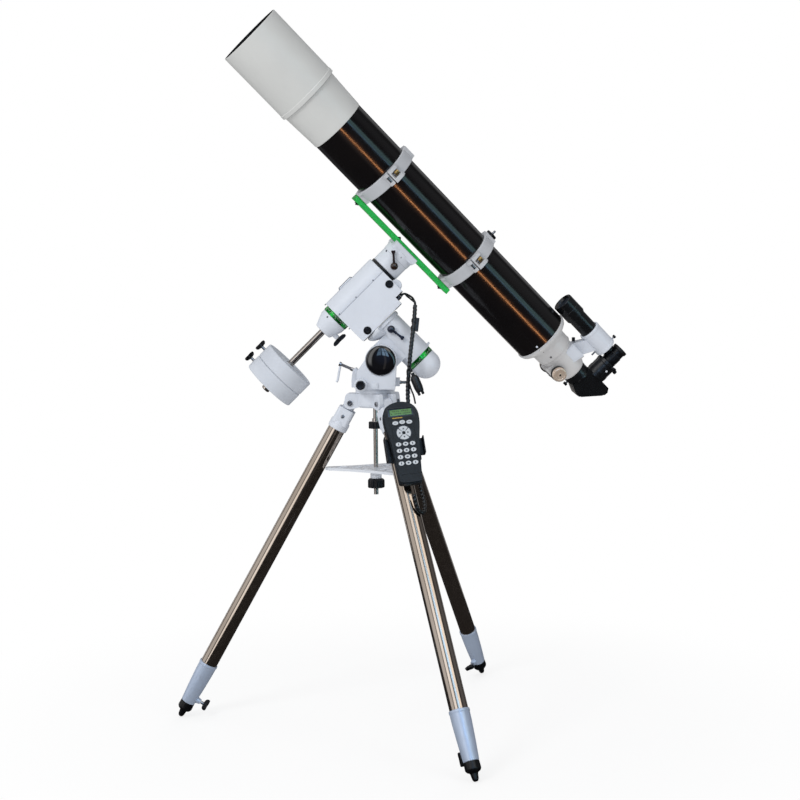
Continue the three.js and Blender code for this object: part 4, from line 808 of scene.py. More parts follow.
# ---- finder -----------------------------------------------------------------------------
FX = O @ T(0, 0, 108) @ AX
b = Bld()
b.lathe([(528, 25.6), (528, 29.4), (530, 30.4), (536, 30.4), (537, 29.6), (592, 29.6), (593, 30.4), (599, 30.4), (601, 29.4), (601, 25.6)], FX, m_cast, 128)
b.prism([(518, 47.4), (563, 47.4), (583, 83), (541, 83)], -13, 13, O @ XZ, m_cast)
b.prism([(531, 52), (556, 52), (570, 77), (546, 77)], -12.1, 12.1, O @ XZ, m_cast)
b.prism([(521, 46.9 + 0.7), (562, 47.6), (562, 51.5), (521, 51.5)], -15, 15, O @ XZ, m_cast)
b.bar(2.2, (596, 0, 137), (596, 0, 143), O, m_bolt)
b.lathe([(34.6, 0), (34.6, 4.4), (35.4, 5), (40.6, 5), (41, 4.2), (41, 0)], O @ T(596, 0, 108), m_blk, 40)
b.bar(2.3, (588, 0, 79), (588, 0, 66), O, m_bolt)
b.bar(2.3, (530, 0, 51.5), (518, 0, 58.5), O, m_bolt)
b.bar(4.6, (520.5, 0, 56), (513, 0, 63), O, m_blk, 24)
b.make('finder_holder', 'tube_assembly', ['finder_bracket'], bevel=0.6, angle=26)
b = Bld()
b.lathe([(424, 0), (424, 21.5), (422.4, 22.5), (417.5, 25.4), (416, 26.8), (417, 28.0), (419, 28.3), (443, 28.3), (443.6, 27.7), (445, 27.7), (445.6, 28.3), (471, 28.3), (475, 26.6), (476, 24.6), (482, 24.6), (520, 24.6), (521, 24.6), (601.5, 24.6), (604, 20), (606, 17.5), (613.5, 17), (614, 15), (614, 12), (611, 10), (611, 0)], FX, m_satin, 128)
b.lathe([(424.4, 0), (424.4, 21), (425.2, 21), (425.6, 0)], FX @ T(0, 0, -1.4), m_lens, 64)
b.lathe([(605.4, 16.4), (605.4, 18.0), (611, 17.8), (611, 16.4)], FX, m_blk, 96, radial=lambda a, z, r: 1 - 0.03 * (0.5 + 0.5 * math.cos(36 * a)) if r > 17 else 1)
b.make('finder_tube', 'finder', ['finder_scope'], bevel=0.4, angle=24)

# ---- saddle ------------------------------------------------------------------------------
b = Bld()
b.lathe([(101.3, 0), (101.3, 38.6), (103, 39.8), (140, 39.8), (143, 40.8), (158, 41.4), (161, 41.4), (163, 40), (163, 0)], S, m_cast, 128)
b.prism(rrect(-37.6, 37.6, -39.4, 39.4, 8, 8), 157, 169.1, S, m_cast)
b.prism([(40, 162), (40, 184), (38.5, 185.5), (19.3, 185.5), (19.3, 183.5), (22.7, 169.2), (22.7, 162)], -38, 38, S @ YZ, m_cast)
b.prism([(-40, 162), (-40, 174.5), (-38.5, 176), (-21.2, 176), (-22.7, 169.2), (-22.7, 162)], -38, 38, S @ YZ, m_cast)
for x in (-12, 28):
    b.lathe([(39, 0), (39, 8.4), (42.5, 7.4), (42.5, 0)], S @ T(x, 0, 177.5) @ AY, m_cast, 48)
b.lathe([(139.6, 39.6), (139.6, 39.9), (140.4, 39.9), (140.4, 39.6)], S, m_seam, 96)
for v, u in ((137, -29), (152, 10)):
    y = -SQ(max(0, 40.6 ** 2 - u * u))
    screw(b, P @ T(u, y, v) @ basis((1, 0, 0), (0, 0, 1), (u / 41, y / 41, 0)), 2.2, 0.7)
b.lathe([(0, 0), (0, 10.6), (3.4, 9.2), (3.4, 0)], P @ T(14, -38.6, 123) @ basis((1, 0, 0), (0, 0, 1), (0, -1, 0)), m_cast, 48)
b.make('saddle_casting', 'tube_assembly', ['saddle'], bevel=1.0, angle=24)


def lever(b, M, arm, m):
    b.lathe([(0, 0), (0, 8.6), (2.5, 9.8), (7, 10.2), (10, 9.6), (13, 7.2), (14.6, 4), (15.2, 0)], M, m, 64)
    pts = [(3, 4.0), (arm * 0.55, 2.7), (arm - 8, 3.1), (arm - 3.5, 5.4), (arm, 5.6), (arm + 1.2, 4.2), (arm + 1.2, -4.2), (arm, -5.6), (arm - 3.5, -5.4), (arm - 8, -3.1), (arm * 0.55, -2.7), (3, -4.0)]
    b.prism(pts, 4, 9.6, M, m)


b = Bld()
lever(b, P @ T(14, -41.6, 123) @ basis((1, 0, 0), (0, 0, 1), (0, -1, 0)) @ RZ(math.atan2(25, -28)), 40, m_leverB)
b.make('dec_lever', 'dec_clutch', ['dec_clutch_lever'], bevel=1.6, segs=4)
b = Bld()
lever(b, P @ T(124.5, -40.6, 1) @ basis((1, 0, 0), (0, 0, 1), (0, -1, 0)) @ RZ(0.13), 40, m_leverS)
b.make('ra_lever', 'ra_clutch', ['ra_clutch_lever'], bevel=1.6, segs=4)
for x, nm, a in ((-12, 'front', 0.9), (28, 'rear', -0.35)):
    b = Bld()
    wing(b, S @ T(x, 48, 177.5) @ basis((1, 0, 0), (0, 0, -1), (0, 1, 0)) @ RZ(a), 30, 12, 13, 3.4, 7)
    b.make('saddle_wing_%s' % nm, 'saddle_knob_%s' % nm, ['saddle_knob_%s' % nm], bevel=0.8, segs=3)

# ---- declination housing ------------------------------------------------------------------
b = Bld()
b.lathe([(-74, 10.3), (-74, 44.5), (-72.5, 46), (91, 46), (93, 44.5), (93, 10.3)], P, m_cast, 160)
b.prism([(3, -73.8), (92, -73.8), (96, -70), (96, 68), (74.5, 68), (74.5, 92.8), (3, 92.8)], -48.7, 48.7, P @ XZ, m_cast)
b.make('dec_housing_body', 'declination_head', ['dec_housing'], bevel=2.6, angle=30, segs=4)
b = Bld()
b.lathe([(-34.5, 0), (-34.5, 14), (-33, 15.2), (17, 15.2), (18, 14), (18, 0)], P @ T(52, 0, 91.5) @ AY, m_cast, 64)
b.lathe([(66, 3.2), (66, 6.2), (79, 6), (79, 3.2)], P @ T(80, -16, 0), m_bolt, 40)
# black seals
b.lathe([(92.6, 30), (92.6, 40.1), (93.6, 40.6), (100.4, 40.6), (101, 40.1), (101, 30)], P, m_gask, 128)
b.prism([(73.6, 68.2), (76.0, 67.2), (76.0, 92), (74.4, 92)], -48.2, 48.2, P @ XZ, m_gask)
b.prism([(95.2, -73), (96.9, -69.5), (96.9, -34), (95.2, -34)], -48.2, 48.2, P @ XZ, m_gask)
b.prism([(94.6, 44), (97.0, 46), (97.0, 66), (94.6, 69)], -48.2, 48.2, P @ XZ, m_gask)
# cover seam, its screws, raised panel
b.prism([(2.4, -73), (3.5, -73), (3.5, 92), (2.4, 92)], 48.4, 48.95, P @ XZ, m_seam)
b.prism([(2.4, -73), (3.5, -73), (3.5, 92), (2.4, 92)], -48.95, -48.4, P @ XZ, m_seam)
FR = basis((1, 0, 0), (0, 0, 1), (0, -1, 0))
for v in (-67, -5, 58):
    screw(b, P @ T(0.6, -46.0, v) @ FR, 1.9, 0.5, m_bolt)
    screw(b, P @ T(0.6, 46.0, v) @ Matrix.Rotation(math.pi, 4, 'Z') @ FR, 1.9, 0.5, m_bolt)
# raised panel on the near face: a thin frame and a pad
b.prism(rrect(68, 94, 2, 67, 2), 48.5, 49.15, P @ XZ, m_cast)
b.prism(rrect(70.5, 91.5, 5, 22, 1.5), 49.0, 49.5, P @ XZ, m_cast)
for u, v in ((38, 81), (83, -45)):
    M_ = P @ T(u, -48.6, v) @ FR
    b.lathe([(-1, 0), (-1, 10.6), (1.2, 10.6), (2.2, 9.8), (2.4, 8.6), (1.2, 8.0), (1.2, 6.6), (2.3, 6.2), (2.3, 4.6), (1.4, 4.2), (1.4, 0)], M_, m_blk, 96)
    M_ = P @ T(u, 48.6, v) @ Matrix.Rotation(math.pi, 4, 'Z') @ FR
    b.lathe([(-1, 0), (-1, 10.6), (1.2, 10.6), (2.2, 9.8), (2.4, 8.6), (1.2, 8.0), (1.2, 6.6), (2.3, 6.2), (2.3, 4.6), (1.4, 4.2), (1.4, 0)], M_, m_blk, 96)
# grip plate on the outer side
b.prism([(-46, -23), (-50.2, -20), (-50.2, 20), (-46, 23)], -6, 6, P @ XZ, m_cast)
b.prism([(-46, -24.4), (-51, -20.6), (-51, 20.6), (-46, 24.4), (-46, 22.6), (-49.8, 19.4), (-49.8, -19.4), (-46, -22.6)], -6.2, 6.2, P @ XZ, m_gask)
# pointer pins by the circle
for u, y in ((45, 0), (-45, 0), (0, -45)):
    b.bar(1.3, (u, y, -74), (u, y, -79.5), P, m_bolt, 20)
for x, y in ((72, -34), (72, 34), (22, 34), (22, -34)):
    screw(b, P @ T(96.0, y, 66 - x) @ basis((0, 0, 1), (0, -1, 0), (1, 0, 0)), 2.4, 0.6, m_bolt)
b.make('dec_housing_trim', 'declination_head', bevel=0.5, angle=26)


def circle_marks(b, M, r, z0, z1, m):
    for k in range(72):
        a = 2 * math.pi * k / 72
        long = k % 6 == 0
        h = (z1 - z0)
        b.box(r - 0.3, r + 0.08, -0.22, 0.22, z0 + h * (0.15 if long else 0.5), z1 - h * 0.12, M @ RZ(a), m)


b = Bld()
b.lathe([(-86.9, 26), (-86.9, 38.4), (-86.2, 38.8), (-75, 38.8), (-74.3, 38.4), (-74.3, 26)], P, m_circle, 160)
circle_marks(b, P, 38.8, -86.6, -74.6, m_mark)
b.make('dec_circle_ring', 'declination_head', ['dec_setting_circle'], bevel=0.3, angle=30)
b = Bld()
b.lathe([(-87.2, 9.7), (-87.2, 37.6), (-88, 38), (-99, 37.4), (-126, 27), (-131, 25), (-132.5, 23), (-132.5, 9.7)], P, m_cast, 144)
b.lathe([(24, 0), (24, 7), (38.5, 6.6), (40.3, 5.6), (40.3, 0)], P @ T(0, 0, -117) @ AX, m_cast, 48)
screw(b, P @ T(-17, -34.0, -95) @ basis((0.9, -0.43, 0), (0, 0, 1), (-0.43, -0.9, 0)), 2.2, 0.8)
b.make('dec_cone', 'declination_head', ['dec_end_cone'], bevel=0.7, angle=24)
b = Bld()
wing(b, P @ T(41, 0, -117) @ basis((0, 0, -1), (0, 1, 0), (1, 0, 0)), 42, 13, 12.5, 4, 0)
b.make('shaft_lock_wing', 'shaft_lock', ['shaft_lock_knob'], bevel=0.9, segs=3)
b = Bld()
b.lathe([(-352, 0), (-352, 9), (-350, 11.5), (-340, 11.5), (-338.8, 9.8), (-338.8, 9), (-60, 9), (-59, 8), (-59, 0)], P, m_steel, 96)
b.make('weight_bar', 'weight_shaft', ['counterweight_shaft'], bevel=0.4, angle=24)
for i, nm in enumerate(('upper', 'lower')):
    t = -255 - i * 41.3
    q = t - 41
    b = Bld()
    b.lathe([(t, 9.4), (t, 30), (t - 1.2, 31.5), (t - 1.2, 66), (t, 67.5), (t, 73), (t - 2, 75), (q + 2, 75), (q, 73), (q, 67.5), (q + 1.2, 66), (q + 1.2, 31.5), (q, 30), (q, 9.4)], P, m_weight, 160)
    b.lathe([(t - 0.6, 8.9 + 0.4), (t - 0.6, 11.4), (t + 0.08, 11.4), (t + 0.08, 9.4)], P, m_steel, 64)
    b.lathe([(q - 0.08, 9.4), (q - 0.08, 11.4), (q + 0.6, 11.4), (q + 0.6, 9.4)], P, m_steel, 64)
    yv = (t + q) / 2
    b.lathe([(74.6, 3.9), (74.6, 6.6), (75.3, 6.4), (75.3, 3.9)], P @ T(0, 0, yv) @ basis((0, 0, 1), (0, -1, 0), (-1, 0, 0)), m_steel, 48)
    b.make('weight_%s_disc' % nm, 'weight_%s' % nm, ['counterweight_%s' % nm], bevel=0.8, angle=26, segs=3)
    b = Bld()
    wing(b, P @ T(-85, 0, yv) @ basis((0, 0, 1), (0, -1, 0), (-1, 0, 0)) @ RZ(0.5 if i else 0.15), 30, 12, 12, 3.6, 22)
    b.make('weight_wing_%s' % nm, 'weight_knob_%s' % nm, ['weight_knob_%s' % nm], bevel=0.8, segs=3)

# ---- polar housing -----------------------------------------------------------------------------
b = Bld()
PX = P @ AX
b.lathe([(97.4, 0), (97.4, 40), (99, 43.5), (107, 43.5), (109, 40), (224, 40), (226.6, 39), (226.6, 0)], PX, m_cast, 144)
# flared skirt under the head of the tube
# (a1 > a0: lower part of the turn only, towards -Z of the polar frame)
deg = math.radians
ang = math.asin(22 / 60)
b.lathe([(97.4, 0), (97.4, 60), (100, 62.6), (106, 62), (111, 58), (116, 52), (121, 43), (126, 36), (126, 0)], PX, m_cast, 96, deg(180) + ang, deg(360) - ang)
b.prism([(123, -14), (204, -14), (204, -66), (201, -90), (125, -90), (122, -66)], -33.5, 33.5, P @ XZ, m_cast)
b.lathe([(-33.8, 0), (-33.8, 40), (-32.8, 41), (32.8, 41), (33.8, 40), (33.8, 0)], P @ T(163.5, 0, -75.8) @ AY, m_cast, 96)
b.bar(3, (221, 0, 36), (221, 0, 47), P, m_cast, 24)
b.lathe([(0, 0), (0, 10.8), (2.8, 9.8), (2.8, 0)], P @ T(124.5, -38.2, 1) @ basis((1, 0, 0), (0, 0, 1), (0, -1, 0)), m_cast, 48)
b.lathe([(223.2, 39.6), (223.2, 40.5), (226.4, 40.4), (226.4, 39.4)], PX, m_cast, 128)
b.make('ra_housing_body', 'polar_head', ['ra_housing'], bevel=1.6, angle=28, segs=3)
b = Bld()
b.lathe([(227, 26), (227, 38.2), (227.7, 38.6), (239.3, 38.6), (240, 38.2), (240, 26)], PX, m_circle, 160)
circle_marks(b, PX, 38.6, 227.4, 239.6, m_mark)
b.make('ra_circle_ring', 'polar_head', ['ra_setting_circle'], bevel=0.3, angle=30)
b = Bld()
pr = [(240.4, 0), (240.4, 37.8), (241, 38.4), (258, 38.4)]
for k in range(1, 25):
    a = k / 24 * math.pi / 2
    pr.append((258 + 35 * math.sin(a), 38.4 * math.cos(a) if k < 24 else 0))
b.lathe(pr, PX, m_cast, 144)
b.make('ra_dome', 'polar_head', ['ra_dome_cap'], bevel=0.4, angle=32)

# ---- fork ------------------------------------------------------------------------------------------
b = Bld()
arc = circ(17, 972, 42, 40, -0.25, math.pi * 0.98)
side = [(-50, 896), (54, 896), (56, 930)] + arc + [(-46, 944), (-47, 925)]
b.prism(side, -62, -34.3, W @ XZ, m_cast)
b.prism(side, 34.3, 62, W @ XZ, m_cast)
b.prism([(-49.6, 896.3), (53.6, 896.3), (55.2, 921), (-47.6, 921)], -61.5, 61.5, W @ XZ, m_cast)
b.lathe([(884.3, 8), (884.3, 51.4), (885.2, 52), (895, 52), (897, 50), (897, 8)], W, m_cast, 128)
b.prism([(-62, 921), (-30, 921), (-30, 932), (-50, 952), (-58, 948)], -20, 20, W @ XZ, m_cast)
b.prism([(-62, 900), (-40, 900), (-40, 922), (-62, 922)], -20, 20, W @ XZ, m_cast)
b.prism([(50, 902), (66, 902), (66, 924), (50, 924)], -16, 16, W @ XZ, m_cast)
for s in (1, -1):
    MM = W @ T(-36, 0, 909) @ (basis((1, 0, 0), (0, 0, 1), (0, -1, 0)) if s > 0 else basis((-1, 0, 0), (0, 0, 1), (0, 1, 0)))
    b.lathe([(55, 0), (55, 17.5), (73, 17.2), (75, 16.2), (76, 14), (76, 0)], MM, m_cast, 96)
b.box(-8, 9, -65, -60, 898, 915, W, m_cast)
b.box(-4.5, 5.5, -66.0, -64.5, 901.5, 911.5, W, m_cast)
# rim round the altitude cap
b.lathe([(60, 38), (60, 42), (63.2, 41.6), (64.0, 40.9), (63.4, 39.4), (62.3, 39.3), (62.3, 38)], W @ T(17, 0, 972) @ basis((1, 0, 0), (0, 0, 1), (0, -1, 0)), m_cast, 128)
b.lathe([(61.5, 0), (61.5, 38.6), (63.6, 38.2), (64.6, 36.5), (65.2, 30), (65.2, 0)], W @ T(17, 0, 972) @ basis((-1, 0, 0), (0, 0, 1), (0, 1, 0)), m_cast, 128)
b.bar(5.6, (-64.5, 0, 949.2), (-54, 0, 944.5), W, m_bolt, 6)
b.bar(5.6, (66, 0, 911.6), (70, 0, 911.6), W, m_bolt, 6)
b.make('fork_casting', 'azimuth_base', ['fork_base'], bevel=1.4, angle=30, segs=3)
b = Bld()
pr = [(0, 0), (0, 39), (2.2, 39)]
for k in range(1, 17):
    a = k / 16 * math.pi / 2
    pr.append((2.2 + 10.2 * math.sin(a), 39 * math.cos(a) ** 0.8 if k < 16 else 0))
b.lathe(pr, W @ T(17, -62.3, 972) @ basis((1, 0, 0), (0, 0, 1), (0, -1, 0)), m_gloss, 144)
b.make('altitude_cap_dome', 'azimuth_base', ['altitude_cap'], bevel=0, angle=50, wn=False)


def thread(b, p, q, r, m, pitch=1.6):
    p, q = Vector(p), Vector(q)
    L = (q - p).length
    d = (q - p).normalized()
    x = Vector((0, 1, 0)).cross(d).normalized()
    y = d.cross(x)
    n = int(L / pitch)
    prof = [(0, 0)]
    for k in range(n):
        prof += [(k * pitch, r * 0.86), (k * pitch + pitch / 2, r)]
    prof += [(L, r * 0.86), (L, 0)]
    b.lathe(prof, basis(x, y, d, p), m, 40)


b = Bld()
thread(b, (-93, 0, 961.9), (-24, 0, 931.2), 4.1, m_bolt)
f0 = Vector((-95, 0, 962.8)); f1 = Vector((-24, 0, 931.2))
b.bar(6, f0, f0 + (f1 - f0).normalized() * 6, W, m_bolt, 40)
b.sweep([(-91, 0, 963), (-93.5, 0, 951), (-96.5, 0, 936), (-98.5, 0, 924), (-100.5, 0, 917.5), (-103, 0, 914)], 3.1, W, m_cast, 24)
b.make('altitude_screw_front', 'altitude_bolt_front', ['altitude_bolt_front'], bevel=0, angle=40, wn=False)
b = Bld()
thread(b, (56, 0, 911.8), (90, 0, 911.3), 4.1, m_bolt)
b.bar(6, (86, 0, 911.4), (92, 0, 911.3), W, m_bolt, 40)
b.sweep([(89, 0, 911), (89.4, 0, 902), (90, 0, 892), (91, 0, 880)], 3.1, W, m_cast, 24)
b.make('altitude_screw_rear', 'altitude_bolt_rear', ['altitude_bolt_rear'], bevel=0, angle=40, wn=False)
b = Bld()
b.lathe([(0, 0), (0, 11.6), (1, 12.3), (10.5, 12.3), (12.4, 11), (13, 9), (12.2, 7.4), (12.2, 0)], W @ T(-36, -76.3, 909) @ basis((1, 0, 0), (0, 0, 1), (0, -1, 0)), m_blk, 120, radial=lambda a, z, r: 1 - 0.07 * (0.5 - 0.5 * math.cos(15 * a)) ** 2 if r > 10 else 1)
b.make('azimuth_knob_cap', 'azimuth_knob', ['azimuth_knob'], bevel=0.4)

# ---- tripod ---------------------------------------------------------------------------------------------
TURN = math.radians(-4)
LEGS = {'left': math.pi + TURN, 'front': -math.pi / 3 + TURN, 'rear': math.pi / 3 + TURN}
R0, Z0, RF = 65.2, 858.2, 546.1
LL = math.hypot(RF - R0, Z0)
b = Bld()
b.lathe([(846, 6.6), (846, 42), (850, 46.5), (858, 49), (884, 49.4), (884, 6.6)], W, m_cast, 144)
for nm, a in LEGS.items():
    R_ = RZ(a)
    ear = [(38, 848), (56, 843)] + circ(R0, Z0, 16.5, 26, -math.pi * 0.62, math.pi * 0.14) + [(R0 + 13.6, 872), (R0 + 12, 878), (R0 + 10.2, 881.6), (R0 + 7, 883.9), (38, 883.9)]
    b.prism(ear, 13.1, 25, R_ @ XZ, m_cast)
    b.prism(ear, -25, -13.1, R_ @ XZ, m_cast)
    for s in (1, -1):
        MM = R_ @ T(R0, 0, Z0) @ (basis((1, 0, 0), (0, 0, 1), (0, -1, 0)) if s > 0 else basis((-1, 0, 0), (0, 0, 1), (0, 1, 0)))
        b.lathe([(24, 0), (24, 7.2), (29.6, 7.2), (30.2, 6.6), (30.2, 3.4), (27.4, 3.2), (27.4, 0)], MM, m_bolt, 6 if s > 0 else 40)
    # angle halfway to the next ear; nothing is built from it
    a2 = a + math.pi / 3
b.make('tripod_head_casting', 'tripod', ['tripod_head'], bevel=1.4, angle=30, segs=3)
for nm, a in LEGS.items():
    c, s = math.cos(a), math.sin(a)
    d = Vector(((RF - R0) * c, (RF - R0) * s, -Z0)).normalized()
    y = Vector((-s, c, 0))
    x = y.cross(d)
    L = basis(x, y, d, (R0 * c, R0 * s, Z0))
    b = Bld()
    tongue = circ(0, 0, 15, 30, math.pi, 2 * math.pi) + [(16, 26), (-16, 26)]
    b.prism(tongue, -12.2, 12.2, L @ XZ, m_cast)
    b.prism(rrect(-22.6, 22.6, -24.6, 24.6, 9, 8), 19, 64, L, m_cast)
    b.lathe([(56, 0), (56, 25.4), (60, 26.5), (72, 26.5), (78, 26.0), (80, 24.6), (80, 0)], L, m_cast, 96)
    b.lathe([(36, 0), (36, 5.4), (37, 4), (37, 0)], L @ T(0, 0, 40) @ AY @ T(0, 0, -11.8), m_bolt, 32)
    screw(b, L @ T(0, -24.4, 42) @ FR, 4.2, 1.6, m_bolt)
    screw(b, L @ T(0, 24.4, 42) @ Matrix.Rotation(math.pi, 4, 'Z') @ FR, 4.2, 1.6, m_bolt)
    b.lathe([(78, 21.2), (78, 23), (LL - 160, 23), (LL - 160, 21.2)], L, m_leg, 96)
    b.lathe([(LL - 170, 16.8), (LL - 170, 25.2), (LL - 169, 25.8), (LL - 163.6, 25.8), (LL - 161.6, 24.8), (LL - 140, 24.5), (LL - 120, 23.6), (LL - 90, 22.2), (LL - 58, 20.1), (LL - 48, 19.4), (LL - 47, 18.6), (LL - 47, 16.8)], L, m_sleeve, 96)
    KM = L @ T(0, 0, LL - 62) @ basis((0, 1, 0), (0, 0, 1), (1, 0, 0))
    b.lathe([(18, 0), (18, 9.5), (27, 7.4), (30.2, 7.0), (30.9, 6.2), (30.9, 0)], KM, m_sleeve, 48)
    b.make('leg_%s_main' % nm, 'leg_%s' % nm, ['leg_%s_upper' % nm], bevel=1.0, angle=26, segs=3)
    b = Bld()
    b.lathe([(300, 14), (300, 16.2), (LL - 46.4, 16.2), (LL - 46.4, 14)], L, m_leg, 64)
    b.lathe([(LL - 60, 0), (LL - 60, 15), (LL - 46.6, 15), (LL - 46.6, 18.6), (LL - 45.6, 19.2), (LL - 30, 19.8), (LL - 27, 19.2), (LL - 23, 16.4), (LL - 20.5, 11.2), (LL - 18, 9.6), (LL - 6, 7.9), (LL - 2, 6.2), (LL, 3.8), (LL, 0)], L, m_blk, 72)
    b.make('leg_%s_foot' % nm, 'leg_%s_lower' % nm, ['leg_%s_lower' % nm], bevel=0.5, angle=24)
    b = Bld()
    wing(b, L @ T(40, 0, LL - 62) @ basis((0, 1, 0), (0, 0, 1), (1, 0, 0)) @ RZ(math.pi / 2 if nm == 'front' else 0.5), 34, 12, 14, 4.2, 8)
    b.make('leg_%s_wing' % nm, 'leg_%s_lock' % nm, ['leg_%s_lock' % nm], bevel=0.9, segs=3)

b = Bld()
b.rod(6, 612, 868, W, m_steel, 48)
b.lathe([(789, 0), (789, 17.6), (790.4, 19), (805.4, 19), (807, 17.6), (807, 0)], W, m_blk, 108, radial=lambda a, z, r: 1 - 0.08 * (0.5 - 0.5 * math.cos(9 * a)) ** 1.5 if r > 16 else 1)
b.lathe([(806, 0), (806, 10.5), (808, 9.2), (816, 9), (816, 0)], W, m_steel, 48)
for k in range(16):
    z = 615 + k * 1.5
    b.lathe([(z, 5.9), (z + 0.5, 6.3), (z + 1.0, 5.9)], W, m_steel, 40)
b.make('centre_rod_assembly', 'centre_rod', ['centre_rod'], bevel=0.4, angle=26)
b = Bld()
out, holes = [], []
for nm in ('front', 'rear', 'left'):
    a = LEGS[nm]
    t, wd = 135, 17

    def rot(px, py, a=a):
        return (px * math.cos(a) - py * math.sin(a), px * math.sin(a) + py * math.cos(a))
    out += [rot(70, -wd - 22), rot(t - 14, -wd - 3), rot(t - 5, -wd + 2), rot(t, -wd + 8), rot(t, wd - 8), rot(t - 5, wd - 2), rot(t - 14, wd + 3), rot(70, wd + 22)]
for nm in ('left', 'front', 'rear'):
    a = LEGS[nm]
    for r, rr in ((92, 17), (50, 12)):
        holes.append(circ(r * math.cos(a), r * math.sin(a), rr, 40))
    bb = a + math.pi / 3
    holes.append(circ(52 * math.cos(bb), 52 * math.sin(bb), 10, 32))
holes.append(circ(0, 0, 6.6, 32))
b.prism(out, 681, 685, W, m_tray, holes)
inn = [(p[0] * 0.965, p[1] * 0.965) for p in out]
b.prism(out, 678, 681.2, W, m_tray, [inn])
for nm in ('left', 'front', 'rear'):
    a = LEGS[nm]
    for r, rr in ((92, 17), (50, 12)):
        b.ringz(rr + 2.2, rr, 679.6, 686, T(r * math.cos(a), r * math.sin(a), 0), m_tray, 48)
b.lathe([(655, 6.6), (655, 14), (656, 15), (676, 15), (681, 19), (681, 6.6)], W, m_tray, 64)
b.make('tray_plate', 'tray', ['accessory_tray'], bevel=0.6, angle=30)
b = Bld()
b.lathe([(630, 6.6), (630, 20.8), (632, 22.8), (650, 22.8), (654.6, 19), (654.6, 6.6)], W, m_blk, 120, radial=lambda a, z, r: 1 - 0.09 * (0.5 - 0.5 * math.cos(9 * a)) ** 1.5 if r > 18.5 else 1)
b.make('tray_knob_round', 'tray_knob', ['tray_knob'], bevel=0.6)

# ---- hand controller ---------------------------------------------------------------------------------------
half = [(0, -109.2), (14, -109), (25, -108), (28.2, -106), (29.5, -102), (30.9, -86), (32.8, -60), (34.8, -32), (37.6, -5), (40.6, 18), (43.8, 36), (45.8, 50), (46.5, 62), (46.3, 74), (44.8, 83), (42, 90), (38, 96.5), (32, 102), (24, 106.4), (16, 109), (8, 110.6), (0, 111)]
outl = half + [(-x, y) for x, y in reversed(half[1:-1])]


def sc(k, ky=None):
    return [(p[0] * k, p[1] * (1 - (1 - k) * 0.42)) for p in outl]


b = Bld()
b.prism(sc(0.94), -16, -11, H, m_side)
b.prism(sc(1.0), -12, -2, H, m_side)
b.prism(sc(0.999), -2.4, 7.0, H, m_slate)
b.prism(sc(0.955), 6, 14, H, m_slate, [rrect(-33, 33, 70, 91, 2, 4), rrect(-28.5, 28.5, -86, 62, 5, 6)])
b.prism(rrect(-33.4, 33.4, 69.6, 91.4, 2, 4), 11, 12.6, H, m_gloss)
b.prism(rrect(-27.8, 27.8, 72.6, 88.0, 1, 3), 12.2, 12.9, H, m_lcd)
b.prism(rrect(-28.9, 28.9, -86.4, 62.4, 5, 6), 8, 10.4, H, m_side)
b.prism(rrect(-36.5, 36.5, 66.8, 94.4, 3, 4), 13.2, 14.4, H, m_side, [rrect(-33, 33, 70, 91, 1.6, 4)])
# characters on the display: plain blocks
for r in range(2):
    for k in range(11):
        if (k * 7 + r * 3) % 5 == 0:
            continue
        b.box(-25.5 + k * 4.7, -25.5 + k * 4.7 + 2.8, 82.6 - r * 6.6, 85.2 - r * 6.6, 12.8, 12.96, H, m_lcdt)
b.box(-24, 2, 64.4, 67.4, 13.9, 14.15, H, m_amber)
b.make('handset_case', 'leg_front', ['handset_body'], bevel=1.3, angle=32, segs=3)
b = Bld()
b.prism(rrect(-28.1, 28.1, -85.6, 61.6, 4.6, 6), 12.5, 14.0, H, m_slate)
for x_ in (-18, 0, 18):
    yy = 1.2 if x_ == 0 else 0
    b.prism([(x_ + 7.6 * math.cos(t / 20 * math.pi), 51.6 + yy + 5.2 * math.sin(t / 20 * math.pi)) for t in range(40)], 14, 15.9, H, m_key)
    b.prism(rrect(x_ - 3, x_ + 3, 51.0 + yy, 52.2 + yy, 0.5, 2), 15.8, 16.02, H, m_keyd)
b.lathe([(14, 19.0), (14, 20.5), (14.8, 20.5), (14.8, 19.0)], H @ T(0, 24, 0), m_keyd, 64)
for k in range(4):
    b.lathe([(14, 4.5), (14, 18.2), (15.6, 18.0), (16.0, 17.2), (16.0, 5.4), (15.6, 4.5)], H @ T(0, 24, 0), m_key, 24, math.radians(90 * k + 49), math.radians(90 * k + 131))
    MM = H @ T(0, 24, 0) @ RZ(math.radians(90 * k))
    b.prism([(9.0, -2.8), (13.6, 0), (9.0, 2.8)], 15.9, 16.1, MM, m_keyd)
for r in range(4):
    for ci, x_ in enumerate((-18, 0, 18)):
        y0_, y1_ = -11 - r * 17, -1 - r * 17
        b.prism([(x_ + 7.0 * math.cos(t / 20 * math.pi), (y0_ + y1_) / 2 + 5.3 * math.sin(t / 20 * math.pi)) for t in range(40)], 14, 15.9, H, m_key)
        if ci != 1:
            b.prism(rrect(x_ - 1.2, x_ + 1.2, y0_ + 2.2, y1_ - 2.2, 0.5, 2), 15.8, 16.02, H, m_keyd)
        else:
            b.prism(rrect(x_ - 2.6, x_ + 2.6, y0_ + 3.2, y1_ - 3.2, 0.5, 2), 15.8, 16.02, H, m_keyd)
b.make('keypad_keys', 'keypad', ['handset_keypad'], bevel=0.5, angle=32)
b = Bld()
b.prism(rrect(-40, 40, -44, 28, 6, 6), -22, -17.5, H, m_blk)
b.prism(rrect(-51, -36, -42, 22, 2, 4), -22, -17.5, H, m_blk)
b.prism(rrect(36, 51, -30, 16, 2, 4), -22, -17.5, H, m_blk)
b.box(-51, -47.4, -42, 22, -21, 4, H, m_blk)
b.box(47.6, 51, -30, 16, -21, 4, H, m_blk)
b.make('handset_clip', 'leg_front', ['handset_holder'], bevel=1.0, segs=3)

